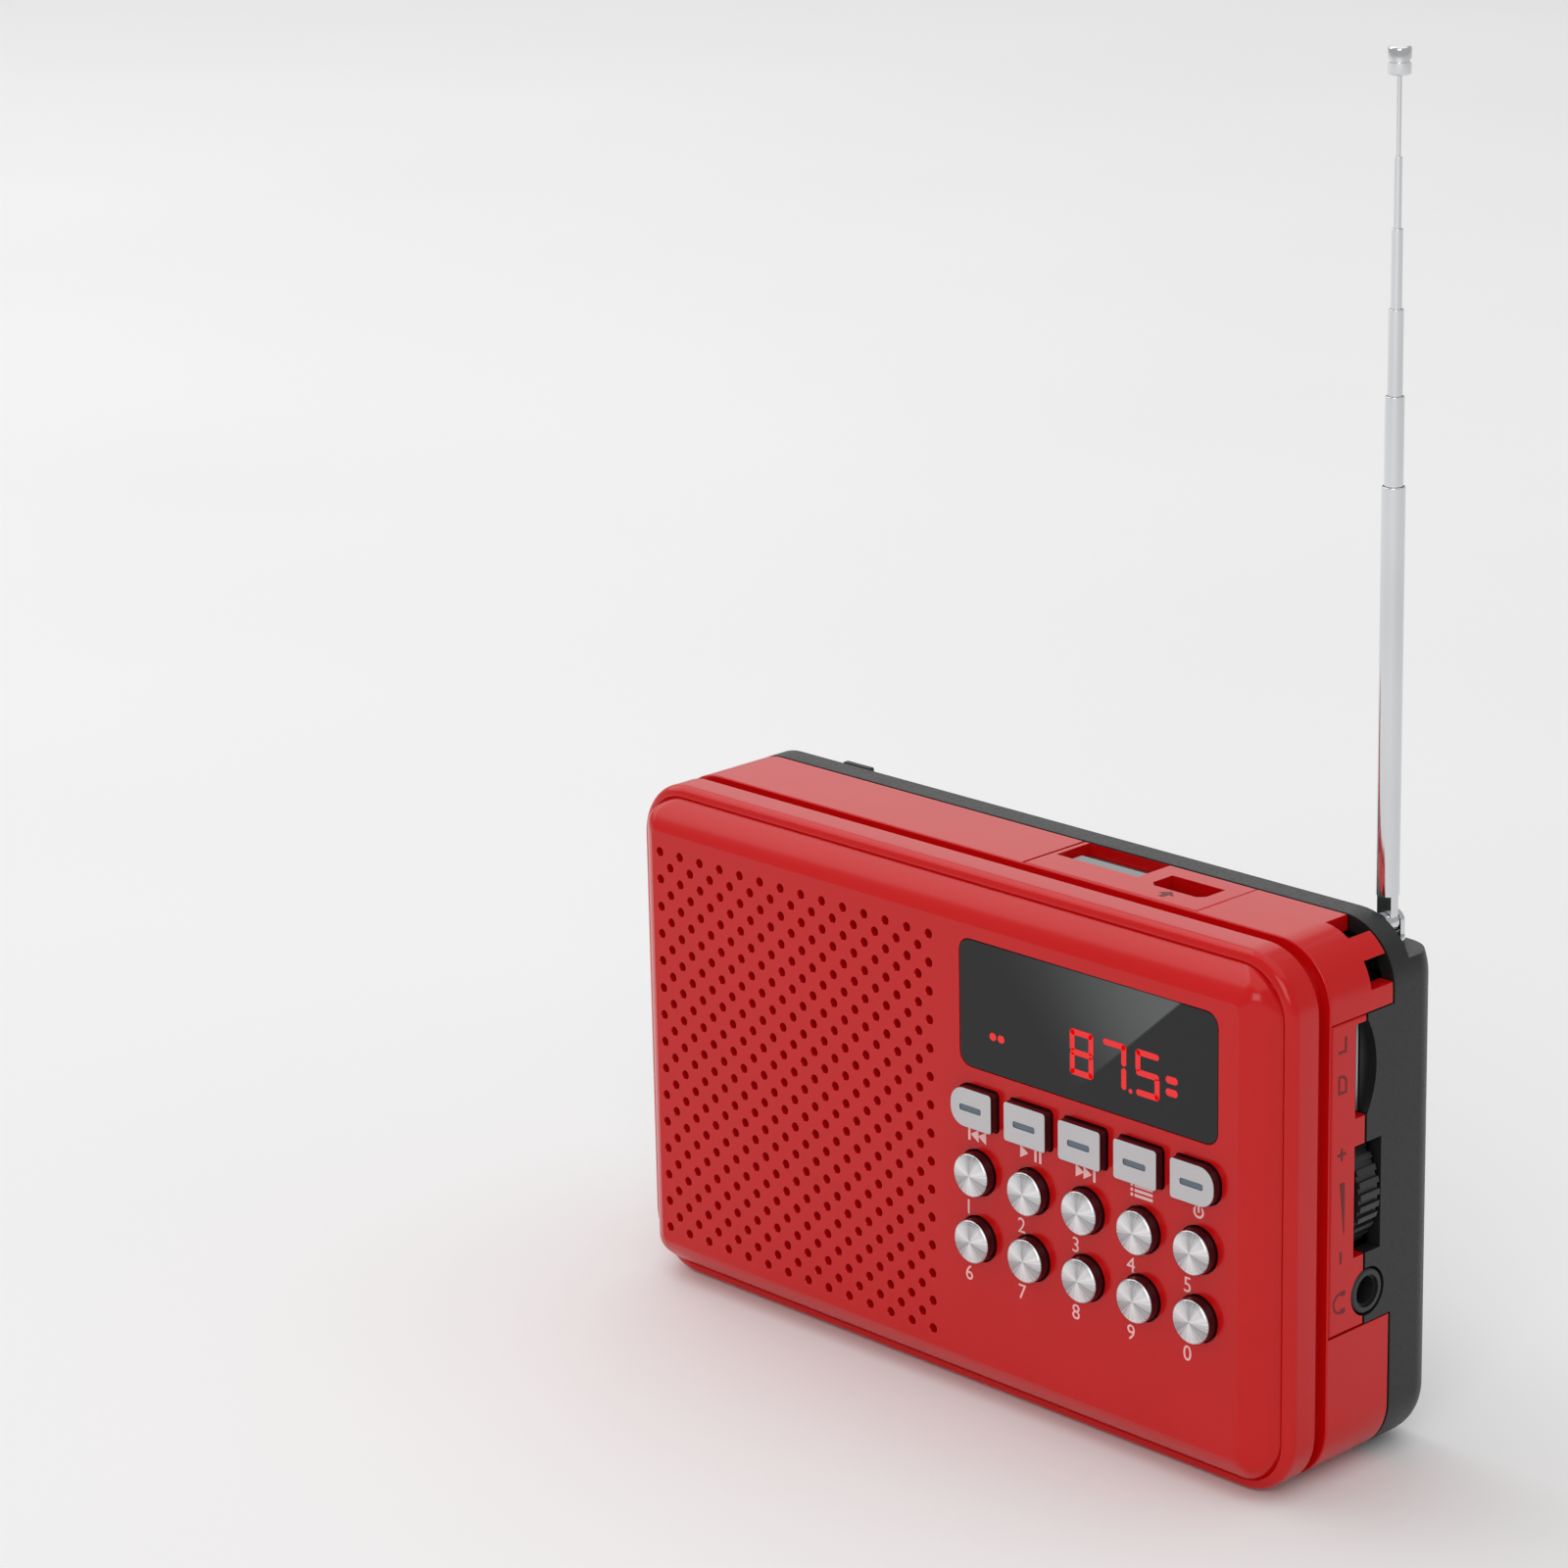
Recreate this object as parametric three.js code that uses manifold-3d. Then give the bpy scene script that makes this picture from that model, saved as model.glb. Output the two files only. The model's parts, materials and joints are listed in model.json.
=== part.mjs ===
// Pocket speaker radio: a red bezel with a grille, a display window and fifteen keys, a red
// mid-frame with port panels, a black rear cover with a battery door and an antenna rebate,
// and everything inside that makes it work.
// Units are millimetres. While modelling, X runs to the right, Y runs back from the flat front
// face, and Z runs up from the underside.

import * as THREE from 'three';
import { mergeVertices } from 'three/addons/utils/BufferGeometryUtils.js';
import Module from 'manifold-3d';

const wasm = await Module();
wasm.setup();

// ---------------------------------------------------------------- driving dimensions

// Casing
const WIDTH = 114;
const HEIGHT = 70;
const DEPTH = 31.4;
const CORNER_R = 8;
const WALL = 2;
const PART_GAP = 0.2;
const REAR_EDGE_R = 4;

// Front bezel
const FACE_THICKNESS = 2;
const RIM_WIDTH = 1.7;
const RIM_DEPTH = 3.4;
const SHOULDER_WIDTH = 3.8;
const BEZEL_DEPTH = 8.1;

// Reveal groove and the lips that locate the shells
const GROOVE_WIDTH = 2.1;
const GROOVE_DEPTH = 1.5;
const LIP_THICKNESS = 1.4;
const LIP_REACH = 1.6;
const LIP_CLEARANCE = 0.3;

// Mid-frame and rear cover
const FRAME_REAR = 22.1;
const COVER_STEP = 17.3;

// Grille: staggered rows of small holes that fill the face left of the keys
const GRILLE_SIDE_INSET = 7.1;
const GRILLE_TOP_INSET = 8.44;
const GRILLE_BOTTOM_INSET = 7.8;
const GRILLE_BOARD_GAP = 5.6;
const GRILLE_STEP = 1.92;
const GRILLE_HOLE_R = 0.85;

// Display window
const WINDOW_WIDTH = 42.7;
const WINDOW_HEIGHT = 16.9;
const WINDOW_CORNER_R = 1.8;
const WINDOW_THICKNESS = 1.2;
const WINDOW_TOP_INSET = 7.5;
const WINDOW_LEDGE = 1.6;
const WINDOW_CLEARANCE = 0.1;

// Keys
const KEY_COLUMNS_INSET = 30.2;
const KEY_COLUMNS = 5;
const KEY_PITCH = 9.2;
const FUNCTION_KEY_WIDTH = 7;
const FUNCTION_KEY_HEIGHT = 5.2;
const FUNCTION_KEY_CORNER_R = 0.5;
const FUNCTION_KEY_END_FLAT = 0.6;
const FUNCTION_KEY_DROP = 29.5;
const FUNCTION_KEY_PROUD = 1.4;
const NUMBER_KEY_R = 2.9;
const NUMBER_KEY_DROPS = [38.4, 47.4];
const NUMBER_KEY_PROUD = 1.8;
const NUMBER_KEY_EDGE_R = 0.5;
const KEY_CLEARANCE = 0.25;
const KEY_FLANGE_WIDTH = 0.6;
const KEY_FLANGE_THICKNESS = 0.8;
const KEY_FLANGE_GAP = 0.3;
const KEY_STEM_R = 1.5;
const KEY_STEM_LENGTH = 2;
const KEY_TRAVEL = 0.8;

// Keypad mat and circuit boards
const MAT_THICKNESS = 1;
const MAT_MARGIN = 1.6;
const BOARD_THICKNESS = 1.4;
const BOARD_WIDTH = 47.3;
const BOARD_RIGHT_INSET = 4;
const BOARD_EDGE_INSET = 4.2;
const KEY_BOARD_GAP = 0.2;
const MAIN_BOARD_FRONT = 12.8;
const BOARD_NOTCH = 10.4;
const CHIP_SIZE = 14;
const CHIP_THICKNESS = 1.6;
const HEADER_LENGTH = 20;
const HEADER_WIDTH = 2.5;

// Top port panel: USB-A socket and charging socket
const TOP_PANEL_INSET = 21.5;
const TOP_PANEL_LENGTH = 28.8;
const USB_INSET = 42.5;
const USB_WIDTH = 13.2;
const USB_HEIGHT = 5.7;
const USB_LENGTH = 14;
const USB_WALL = 0.4;
const USB_TONGUE_WIDTH = 11.1;
const USB_TONGUE_THICKNESS = 2.4;
const USB_TONGUE_GAP = 0.3;
const USB_TONGUE_SINK = 0.7;
const USB_SINK = 1.6;
const USB_FLOOR = 2;
const USB_BACK_SHIFT = 1.5;
const CHARGE_INSET = 28.5;
const CHARGE_WIDTH = 8.2;
const CHARGE_HEIGHT = 4;
const CHARGE_LENGTH = 9;
const CHARGE_SINK = 3.2;
const CHARGE_FLOOR = 1.5;
const CHARGE_TAPER = 0.9;
const CHARGE_WAIST = 0.45;
const CHARGE_BACK_SHIFT = 0.4;
const SOCKET_WALL = 0.4;
const SOCKET_CLEARANCE = 0.25;

// Side port panel: card slot, volume wheel and earphone jack
const SIDE_PANEL_DROP = 9.8;
const SIDE_PANEL_LENGTH = 40.2;
const PANEL_FLANGE_WIDTH = 1.2;
const PANEL_FLANGE_THICKNESS = 1.2;
const CARD_SLOT_DROP = 10.6;
const CARD_SLOT_LENGTH = 12.1;
const CARD_SLOT_WIDTH = 2.1;
const CARD_SOCKET_LENGTH = 14.5;
const CARD_SOCKET_SINK = 1.2;
const CARD_SOCKET_WALL = 0.35;
const SCOOP_REACH = 1.7;
const SCOOP_DEPTH = 1.2;
const WHEEL_DROP = 33.5;
const WHEEL_R = 9;
const WHEEL_THICKNESS = 3.6;
const WHEEL_PROUD = 0.5;
const WHEEL_RIDGES = 36;
const WHEEL_RIDGE_DEPTH = 0.45;
const WHEEL_SLOT_LENGTH = 14.5;
const WHEEL_SLOT_WIDTH = 5.1;
const WHEEL_CLEARANCE = 0.3;
const POT_SIZE = 10;
const POT_THICKNESS = 1;
const POT_SHAFT_R = 1.5;
const SHAFT_CLEARANCE = 0.05;
const JACK_DROP = 45.9;
const JACK_CENTRE_BACK = 17.8;
const JACK_RING_R = 2.9;
const JACK_BORE_R = 1.8;
const JACK_BODY_LENGTH = 12;
const JACK_BORE_DEPTH = 13;

// Speaker
const SPEAKER_GAP = 0.4;
const SPEAKER_FLANGE = 1.2;
const SPEAKER_METAL = 0.8;
const BASKET_R = 13;
const BASKET_DEPTH = 11;
const MAGNET_R = 16;
const MAGNET_THICKNESS = 6.5;
const CONE_INSET = 2;
const CONE_SET_BACK = 0.4;
const CONE_DEPTH = 7.4;
const CONE_CAP_R = 6.2;
const CONE_CAP_RISE = 2.4;
const CONE_PAPER = 0.8;
const CONE_SURROUND = 1.5;
const CONE_RIM = 0.5;

// Battery bay, battery and door
const BAY_LEFT = 3.4;
const BAY_LENGTH = 58.6;
const BAY_BOTTOM = 16;
const BAY_HEIGHT = 36;
const BAY_DEPTH = 8.7;
const BAY_WALL = 1.2;
const BATTERY_LENGTH = 53;
const BATTERY_HEIGHT = 34;
const BATTERY_THICKNESS = 4.6;
const CONTACT_BLOCK_LENGTH = 2.6;
const CONTACT_PITCH = 6;
const CONTACT_REACH = 0.6;
const CONTACT_WIDTH = 2;
const RIB_INSET = 16;
const DOOR_MARGIN = 4;
const DOOR_WRAP = 5.7;
const RAIL_REACH = 1.2;
const RAIL_THICKNESS = 1.1;
const RAIL_ROOT = 1.2;
const RAIL_LENGTH = 34;
const GRIP_GROOVES = 4;
const GRIP_INSET = 10;
const GRIP_PITCH = 2.2;
const GRIP_WIDTH = 0.9;
const GRIP_DEPTH = 0.5;
const GRIP_LENGTH = 16;

// Case screws
const SCREW_HEAD_R = 1.9;
const SCREW_HEAD_THICKNESS = 1.3;
const SCREW_SHANK_R = 0.8;
const SCREW_BITE = 4.4;
const SCREW_SINK = 0.3;
const SCREW_SLOT_DEPTH = 0.6;
const SCREW_HOLE_CLEARANCE = 0.3;
const SCREW_SLOT_WIDTH = 0.6;
const POST_R = 2.3;
const SCREW_SIDE_INSET = 3.9;
const SCREW_DOOR_GAP = 0.9;
const SCREW_TOP_INSET = 8.7;
const SCREW_RIGHT_INSET = 5.5;
const SCREW_BASE_INSET = 7.5;

// Antenna rebate, clip, pivot and telescoping sections
const REBATE_WIDTH = 5.7;
const REBATE_DEPTH = 5;
const REBATE_WALL = 1.8;
const ANTENNA_REAR_INSET = 2.85;
const ANTENNA_SIDE_INSET = 6.3;
const PIVOT_LIFT = 2.6;
const SECTION_RADII = [1.45, 1.17, 0.92, 0.69, 0.48, 0.3];
const SECTION_LENGTH = 50;
const SECTION_WALL = 0.15;
const SECTION_SHOWING = [0, 11, 10.5, 9.6, 8.5, 9.6];
const BASE_TUBE_START = 3.6;
const BASE_TUBE_PLUG = 1.2;
const TIP_R = 1.4;
const TIP_LENGTH = 3.4;
const EYE_R = 1.45;
const EYE_THICKNESS = 1.4;
const YOKE_EAR = 0.8;
const YOKE_GAP = 0.1;
const YOKE_R = 2.2;
const YOKE_BASE = 0.7;
const PIN_R = 0.6;
const PIN_CLEARANCE = 0.05;
const SWIVEL_POST_R = 1.3;
const SWIVEL_POST_CLEARANCE = 0.06;
const SWIVEL_LIFT = 0.3;
const BRACKET_LENGTH = 14;
const BRACKET_WIDTH = 4.6;
const BRACKET_THICKNESS = 1;
const BRACKET_SCREW_R = 0.8;
const BRACKET_SCREW_LENGTH = 1.2;
const BRACKET_SCREW_FORWARD = 0.8;
const CLIP_CENTRE = 14.2;
const CLIP_DROP = 1.7;
const CLIP_LENGTH = 5;
const CLIP_WALL = 0.9;
const CLIP_CLEARANCE = 0.15;

// Lanyard loop at the upper right corner of the mid-frame
const LOOP_TOP_INSET = 3.7;
const LOOP_TOP_LENGTH = 3.6;
const LOOP_SIDE_DROP = 3.6;
const LOOP_SIDE_LENGTH = 3.4;
const LOOP_DEPTH = 4.2;
const LOOP_FLOOR = 3;

// ---------------------------------------------------------------- derived places

const GROOVE_REAR = BEZEL_DEPTH + GROOVE_WIDTH;
const COVER_FRONT = FRAME_REAR + PART_GAP;
const COVER_INSIDE = DEPTH - WALL;
const POST_FRONT = FRAME_REAR - LIP_REACH;
const FACE_INSET = RIM_WIDTH + SHOULDER_WIDTH;
const KEY_FLANGE_FRONT = FACE_THICKNESS + KEY_FLANGE_GAP;
const KEY_FLANGE_REAR = KEY_FLANGE_FRONT + KEY_FLANGE_THICKNESS;
const KEY_STEM_REAR = KEY_FLANGE_REAR + KEY_STEM_LENGTH;
const MAT_FRONT = KEY_STEM_REAR + KEY_TRAVEL;
const KEY_BOARD_FRONT = MAT_FRONT + MAT_THICKNESS + KEY_BOARD_GAP;
const KEY_BOARD_REAR = KEY_BOARD_FRONT + BOARD_THICKNESS;
const MAIN_BOARD_REAR = MAIN_BOARD_FRONT + BOARD_THICKNESS;
const SOCKET_FRONT = MAIN_BOARD_REAR + PART_GAP;
const BOARD_RIGHT = WIDTH - BOARD_RIGHT_INSET;
const BOARD_LEFT = BOARD_RIGHT - BOARD_WIDTH;
const USB_FRONT = SOCKET_FRONT + USB_BACK_SHIFT;
const USB_CENTRE = WIDTH - USB_INSET;
const CHARGE_CENTRE = WIDTH - CHARGE_INSET;
const TOP_PANEL_RIGHT = WIDTH - TOP_PANEL_INSET;
const TOP_PANEL_LEFT = TOP_PANEL_RIGHT - TOP_PANEL_LENGTH;
const SIDE_PANEL_TOP = HEIGHT - SIDE_PANEL_DROP;
const SIDE_PANEL_BOTTOM = SIDE_PANEL_TOP - SIDE_PANEL_LENGTH;
const CARD_SLOT_BOTTOM = HEIGHT - CARD_SLOT_DROP - CARD_SLOT_LENGTH;
const CHARGE_FRONT = SOCKET_FRONT + CHARGE_BACK_SHIFT;
const CARD_SLOT_FRONT = COVER_STEP - CARD_SLOT_WIDTH - PART_GAP;
const JACK_CENTRE_UP = HEIGHT - JACK_DROP;
const WHEEL_CENTRE_UP = HEIGHT - WHEEL_DROP;
const CARD_SLOT_MIDDLE = CARD_SLOT_BOTTOM + CARD_SLOT_LENGTH / 2;
const WHEEL_CENTRE_ACROSS = WIDTH + WHEEL_PROUD - WHEEL_R;
const WHEEL_SLOT_FRONT = CARD_SLOT_FRONT;
const WHEEL_FRONT = WHEEL_SLOT_FRONT + (WHEEL_SLOT_WIDTH - WHEEL_THICKNESS) / 2;
const GRILLE_LEFT = GRILLE_SIDE_INSET;
const GRILLE_COLUMNS = 1 + Math.floor((BOARD_LEFT - GRILLE_BOARD_GAP - GRILLE_LEFT) / GRILLE_STEP);
const GRILLE_SPAN = HEIGHT - GRILLE_TOP_INSET - GRILLE_BOTTOM_INSET;
const GRILLE_ROWS = 1 + Math.floor(GRILLE_SPAN / GRILLE_STEP + 1e-6);
const GRILLE_WIDTH = (GRILLE_COLUMNS - 1) * GRILLE_STEP;
const GRILLE_HEIGHT = (GRILLE_ROWS - 1) * GRILLE_STEP;
const GRILLE_BOTTOM = HEIGHT - GRILLE_TOP_INSET - GRILLE_HEIGHT;
const GRILLE_CENTRE = GRILLE_LEFT + GRILLE_WIDTH / 2;
const GRILLE_MIDDLE = GRILLE_BOTTOM + GRILLE_HEIGHT / 2;
const SPEAKER_R = Math.min(GRILLE_WIDTH, GRILLE_HEIGHT) / 2;
const SPEAKER_FRONT = FACE_THICKNESS + SPEAKER_GAP;
const BASKET_REAR = SPEAKER_FRONT + BASKET_DEPTH;
const BAY_FLOOR = DEPTH - BAY_DEPTH;
const DOOR_FRONT = DEPTH - DOOR_WRAP;
const BAY_RIGHT = BAY_LEFT + BAY_LENGTH;
const BAY_TOP = BAY_BOTTOM + BAY_HEIGHT;
const DOOR_RIGHT = BAY_RIGHT + BAY_WALL + DOOR_MARGIN / 2;
const DOOR_BOTTOM = BAY_BOTTOM - DOOR_MARGIN;
const DOOR_TOP = BAY_TOP + DOOR_MARGIN;
const BATTERY_FRONT = BAY_FLOOR + BAY_WALL + PART_GAP;
const KEY_COLUMNS_CENTRE = WIDTH - KEY_COLUMNS_INSET;
const FUNCTION_KEY_UP = HEIGHT - FUNCTION_KEY_DROP;
const NUMBER_KEY_ROWS_UP = NUMBER_KEY_DROPS.map((drop) => HEIGHT - drop);
const WINDOW_LEFT = KEY_COLUMNS_CENTRE - WINDOW_WIDTH / 2;
const WINDOW_BOTTOM = HEIGHT - WINDOW_TOP_INSET - WINDOW_HEIGHT;
const SCREW_PLACES = [
  [SCREW_SIDE_INSET, DOOR_TOP + SCREW_DOOR_GAP + POST_R],
  [SCREW_SIDE_INSET, DOOR_BOTTOM - SCREW_DOOR_GAP - POST_R],
  [BOARD_LEFT - LIP_CLEARANCE - POST_R, HEIGHT - SCREW_TOP_INSET],
  [WIDTH - SCREW_RIGHT_INSET, SCREW_BASE_INSET],
];
const REBATE_FRONT = DEPTH - REBATE_WIDTH;
const REBATE_FLOOR = HEIGHT - REBATE_DEPTH;
const ANTENNA_BACK = DEPTH - ANTENNA_REAR_INSET;
const ANTENNA_ACROSS = WIDTH - ANTENNA_SIDE_INSET;
const PIVOT_UP = REBATE_FLOOR + PIVOT_LIFT;
const SWIVEL_POST_FOOT = REBATE_FLOOR - REBATE_WALL - BRACKET_THICKNESS - 0.6;
const LOOP_TOP_TO = WIDTH - LOOP_TOP_INSET;
const LOOP_TOP_FROM = LOOP_TOP_TO - LOOP_TOP_LENGTH;
const LOOP_SIDE_TO = HEIGHT - LOOP_SIDE_DROP;
const LOOP_SIDE_FROM = LOOP_SIDE_TO - LOOP_SIDE_LENGTH;

// How far joined solids run into each other, and how far cuts run past what they cut
const JOIN = 0.2;
const PAST = 1;

// Round sections: number of flats by size
const SMALL_FLATS = 12;
const ROUND_FLATS = 16;
const LARGE_FLATS = 24;
const CORNER_FLATS = 5;
const KEY_FLATS = 3;
const STEM_FLATS = 8;

// ---------------------------------------------------------------- solid helpers

/** Turns a closed geometry into a solid that can be joined and cut. */
function toSolid(geometry) {
  const bare = geometry.clone();
  bare.deleteAttribute('normal');
  bare.deleteAttribute('uv');
  const merged = mergeVertices(bare);
  const mesh = new wasm.Mesh({
    numProp: 3,
    vertProperties: new Float32Array(merged.attributes.position.array),
    triVerts: new Uint32Array(merged.index.array),
  });
  return new wasm.Manifold(mesh);
}

/** Turns a solid back into a geometry. */
function toGeometry(solid) {
  const mesh = solid.getMesh();
  const geometry = new THREE.BufferGeometry();
  geometry.setAttribute('position', new THREE.BufferAttribute(new Float32Array(mesh.vertProperties), 3));
  geometry.setIndex(new THREE.BufferAttribute(new Uint32Array(mesh.triVerts), 1));
  geometry.computeVertexNormals();
  return geometry;
}

/** A solid between two opposite corners. */
function block(x0, x1, y0, y1, z0, z1) {
  const geometry = new THREE.BoxGeometry(x1 - x0, y1 - y0, z1 - z0);
  geometry.translate((x0 + x1) / 2, (y0 + y1) / 2, (z0 + z1) / 2);
  return toSolid(geometry);
}

/** A round bar along Y. */
function barY(x, z, radius, y0, y1, flats = SMALL_FLATS) {
  const geometry = new THREE.CylinderGeometry(radius, radius, y1 - y0, flats);
  geometry.translate(x, (y0 + y1) / 2, z);
  return toSolid(geometry);
}

/** A round bar along Z. */
function barZ(x, y, radius, z0, z1, flats = SMALL_FLATS) {
  const geometry = new THREE.CylinderGeometry(radius, radius, z1 - z0, flats);
  geometry.rotateX(Math.PI / 2);
  geometry.translate(x, y, (z0 + z1) / 2);
  return toSolid(geometry);
}

/** A round bar along X. */
function barX(y, z, radius, x0, x1, flats = SMALL_FLATS) {
  const geometry = new THREE.CylinderGeometry(radius, radius, x1 - x0, flats);
  geometry.rotateZ(Math.PI / 2);
  geometry.translate((x0 + x1) / 2, y, z);
  return toSolid(geometry);
}

/** A body turned about a line along Y, from [radius, depth] points that start and end on it. */
function turned(x, z, profile, flats = LARGE_FLATS) {
  const points = profile.map(([radius, depth]) => new THREE.Vector2(radius, depth));
  const geometry = new THREE.LatheGeometry(points, flats);
  geometry.translate(x, 0, z);
  return toSolid(geometry);
}

/** A rectangle outline with four corner radii, from the lower left corner and round to the right. */
function outline(x0, z0, x1, z1, radii) {
  const [a, b, c, d] = Array.isArray(radii) ? radii : [radii, radii, radii, radii];
  const shape = new THREE.Shape();
  shape.moveTo(x0 + a, z0);
  shape.lineTo(x1 - b, z0);
  shape.absarc(x1 - b, z0 + b, b, -Math.PI / 2, 0);
  shape.lineTo(x1, z1 - c);
  shape.absarc(x1 - c, z1 - c, c, 0, Math.PI / 2);
  shape.lineTo(x0 + d, z1);
  shape.absarc(x0 + d, z1 - d, d, Math.PI / 2, Math.PI);
  shape.lineTo(x0, z0 + a);
  shape.absarc(x0 + a, z0 + a, a, Math.PI, Math.PI * 1.5);
  return shape;
}

/** Extrudes an outline in the XZ plane from depth y0 to depth y1. */
function slab(shape, y0, y1, flats = CORNER_FLATS) {
  const geometry = new THREE.ExtrudeGeometry(shape, {
    depth: y1 - y0,
    bevelEnabled: false,
    curveSegments: flats,
  });
  geometry.rotateX(Math.PI / 2);
  geometry.translate(0, y1, 0);
  return toSolid(geometry);
}

/** Extrudes an outline with both ends rounded over inside it. */
function pillow(shape, y0, y1, edgeWidth, edgeDepth, steps) {
  const geometry = new THREE.ExtrudeGeometry(shape, {
    depth: y1 - y0 - 2 * edgeDepth,
    bevelEnabled: true,
    bevelThickness: edgeDepth,
    bevelSize: edgeWidth,
    bevelOffset: -edgeWidth,
    bevelSegments: steps,
    curveSegments: CORNER_FLATS,
  });
  geometry.rotateX(Math.PI / 2);
  geometry.translate(0, y1 - edgeDepth, 0);
  return toSolid(geometry);
}

/** The casing outline moved inwards. */
function casing(inset) {
  const radius = Math.max(CORNER_R - inset, 0.5);
  return outline(inset, inset, WIDTH - inset, HEIGHT - inset, radius);
}

/** A ring that follows the casing outline between two insets. */
function casingRing(outerInset, innerInset, y0, y1) {
  const reach = 1;
  return slab(casing(outerInset), y0, y1).subtract(slab(casing(innerInset), y0 - reach, y1 + reach));
}

/** Joins a list of solids. */
function join(solids) {
  return solids.reduce((whole, solid) => whole.add(solid));
}

// ---------------------------------------------------------------- finishes

const FINISHES = {
  redGloss: { color: 0xc41f22, roughness: 0.25, metalness: 0 },
  blackSatin: { color: 0x2f3030, roughness: 0.5, metalness: 0 },
  windowBlack: { color: 0x151516, roughness: 0.08, metalness: 0 },
  keyGrey: { color: 0xcfcccd, roughness: 0.45, metalness: 0 },
  spunMetal: { color: 0xd4d4d6, roughness: 0.3, metalness: 1 },
  chrome: { color: 0xd9dadc, roughness: 0.12, metalness: 1 },
  steel: { color: 0x9fa2a6, roughness: 0.35, metalness: 1 },
  brass: { color: 0xb59a55, roughness: 0.35, metalness: 1 },
  board: { color: 0x1e5b34, roughness: 0.5, metalness: 0 },
  darkPart: { color: 0x1c1c1e, roughness: 0.6, metalness: 0 },
  rubber: { color: 0xb9b6b0, roughness: 0.8, metalness: 0 },
  paperCone: { color: 0x2a2826, roughness: 0.9, metalness: 0 },
  magnet: { color: 0x4b4c50, roughness: 0.5, metalness: 0.6 },
  batteryWrap: { color: 0x8f9499, roughness: 0.5, metalness: 0 },
};

const radio = new THREE.Group();

/** Adds one named mesh to the radio. */
function place(name, solid, finish, position = [0, 0, 0], parent = radio) {
  const material = new THREE.MeshStandardMaterial({ ...FINISHES[finish], flatShading: true });
  const mesh = new THREE.Mesh(toGeometry(solid), material);
  mesh.name = name;
  mesh.position.set(...position);
  parent.add(mesh);
  return mesh;
}

// ---------------------------------------------------------------- keys

/** Across-places of the key columns, left to right. */
function keyColumns() {
  const first = KEY_COLUMNS_CENTRE - (KEY_COLUMNS - 1) * KEY_PITCH / 2;
  return Array.from({ length: KEY_COLUMNS }, (_, column) => first + column * KEY_PITCH);
}

/** Corner radii of a function key: the outer side of the first and last keys is a half round. */
function functionKeyRadii(column) {
  const plain = FUNCTION_KEY_CORNER_R;
  const round = (FUNCTION_KEY_HEIGHT - FUNCTION_KEY_END_FLAT) / 2;
  const left = column === 0 ? round : plain;
  const right = column === KEY_COLUMNS - 1 ? round : plain;
  return [left, right, right, left];
}

/** Outline of a function key about its own centre, grown all round. */
function functionKeyOutline(column, grow) {
  const halfWidth = FUNCTION_KEY_WIDTH / 2 + grow;
  const halfHeight = FUNCTION_KEY_HEIGHT / 2 + grow;
  const radii = functionKeyRadii(column).map((radius) => radius + grow);
  return outline(-halfWidth, -halfHeight, halfWidth, halfHeight, radii);
}

/** A function key about its own centre: cap, retaining flange and stem. */
function functionKey(column) {
  const cap = slab(functionKeyOutline(column, 0), -FUNCTION_KEY_PROUD, KEY_FLANGE_REAR, KEY_FLATS);
  const flange = slab(
    functionKeyOutline(column, KEY_FLANGE_WIDTH), KEY_FLANGE_FRONT, KEY_FLANGE_REAR, KEY_FLATS);
  const stem = barY(0, 0, KEY_STEM_R, KEY_FLANGE_REAR - JOIN, KEY_STEM_REAR, STEM_FLATS);
  return join([cap, flange, stem]);
}

/** A round number key about its own centre: domed cap, retaining flange and stem. */
function numberKey() {
  const capSide = NUMBER_KEY_R - NUMBER_KEY_EDGE_R;
  return turned(0, 0, [
    [0, -NUMBER_KEY_PROUD],
    [capSide, -NUMBER_KEY_PROUD + NUMBER_KEY_EDGE_R / 4],
    [NUMBER_KEY_R, -NUMBER_KEY_PROUD + NUMBER_KEY_EDGE_R],
    [NUMBER_KEY_R, KEY_FLANGE_FRONT],
    [NUMBER_KEY_R + KEY_FLANGE_WIDTH, KEY_FLANGE_FRONT],
    [NUMBER_KEY_R + KEY_FLANGE_WIDTH, KEY_FLANGE_REAR],
    [KEY_STEM_R, KEY_FLANGE_REAR],
    [KEY_STEM_R, KEY_STEM_REAR],
    [0, KEY_STEM_REAR],
  ], ROUND_FLATS);
}

/** Adds the function keys and the number keys, counted 1 to 9 and then 0. */
function addKeys() {
  keyColumns().forEach((across, column) => {
    place(`function_key_${column + 1}`, functionKey(column), 'keyGrey', [across, 0, FUNCTION_KEY_UP]);
  });
  NUMBER_KEY_ROWS_UP.forEach((up, row) => {
    keyColumns().forEach((across, column) => {
      const digit = (row * KEY_COLUMNS + column + 1) % 10;
      place(`number_key_${digit}`, numberKey(), 'spunMetal', [across, 0, up]);
    });
  });
}

// ---------------------------------------------------------------- front bezel

/** The holes of the grille, each a small square standing on its corner. */
function grilleHoles() {
  const shapes = [];
  for (let column = 0; column < GRILLE_COLUMNS; column += 1) {
    for (let row = column % 2; row < GRILLE_ROWS; row += 2) {
      const across = GRILLE_LEFT + column * GRILLE_STEP;
      const up = GRILLE_BOTTOM + row * GRILLE_STEP;
      const hole = new THREE.Shape();
      hole.moveTo(across + GRILLE_HOLE_R, up);
      hole.lineTo(across, up + GRILLE_HOLE_R);
      hole.lineTo(across - GRILLE_HOLE_R, up);
      hole.lineTo(across, up - GRILLE_HOLE_R);
      shapes.push(hole);
    }
  }
  return slab(shapes, -1, FACE_THICKNESS + 1);
}

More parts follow.
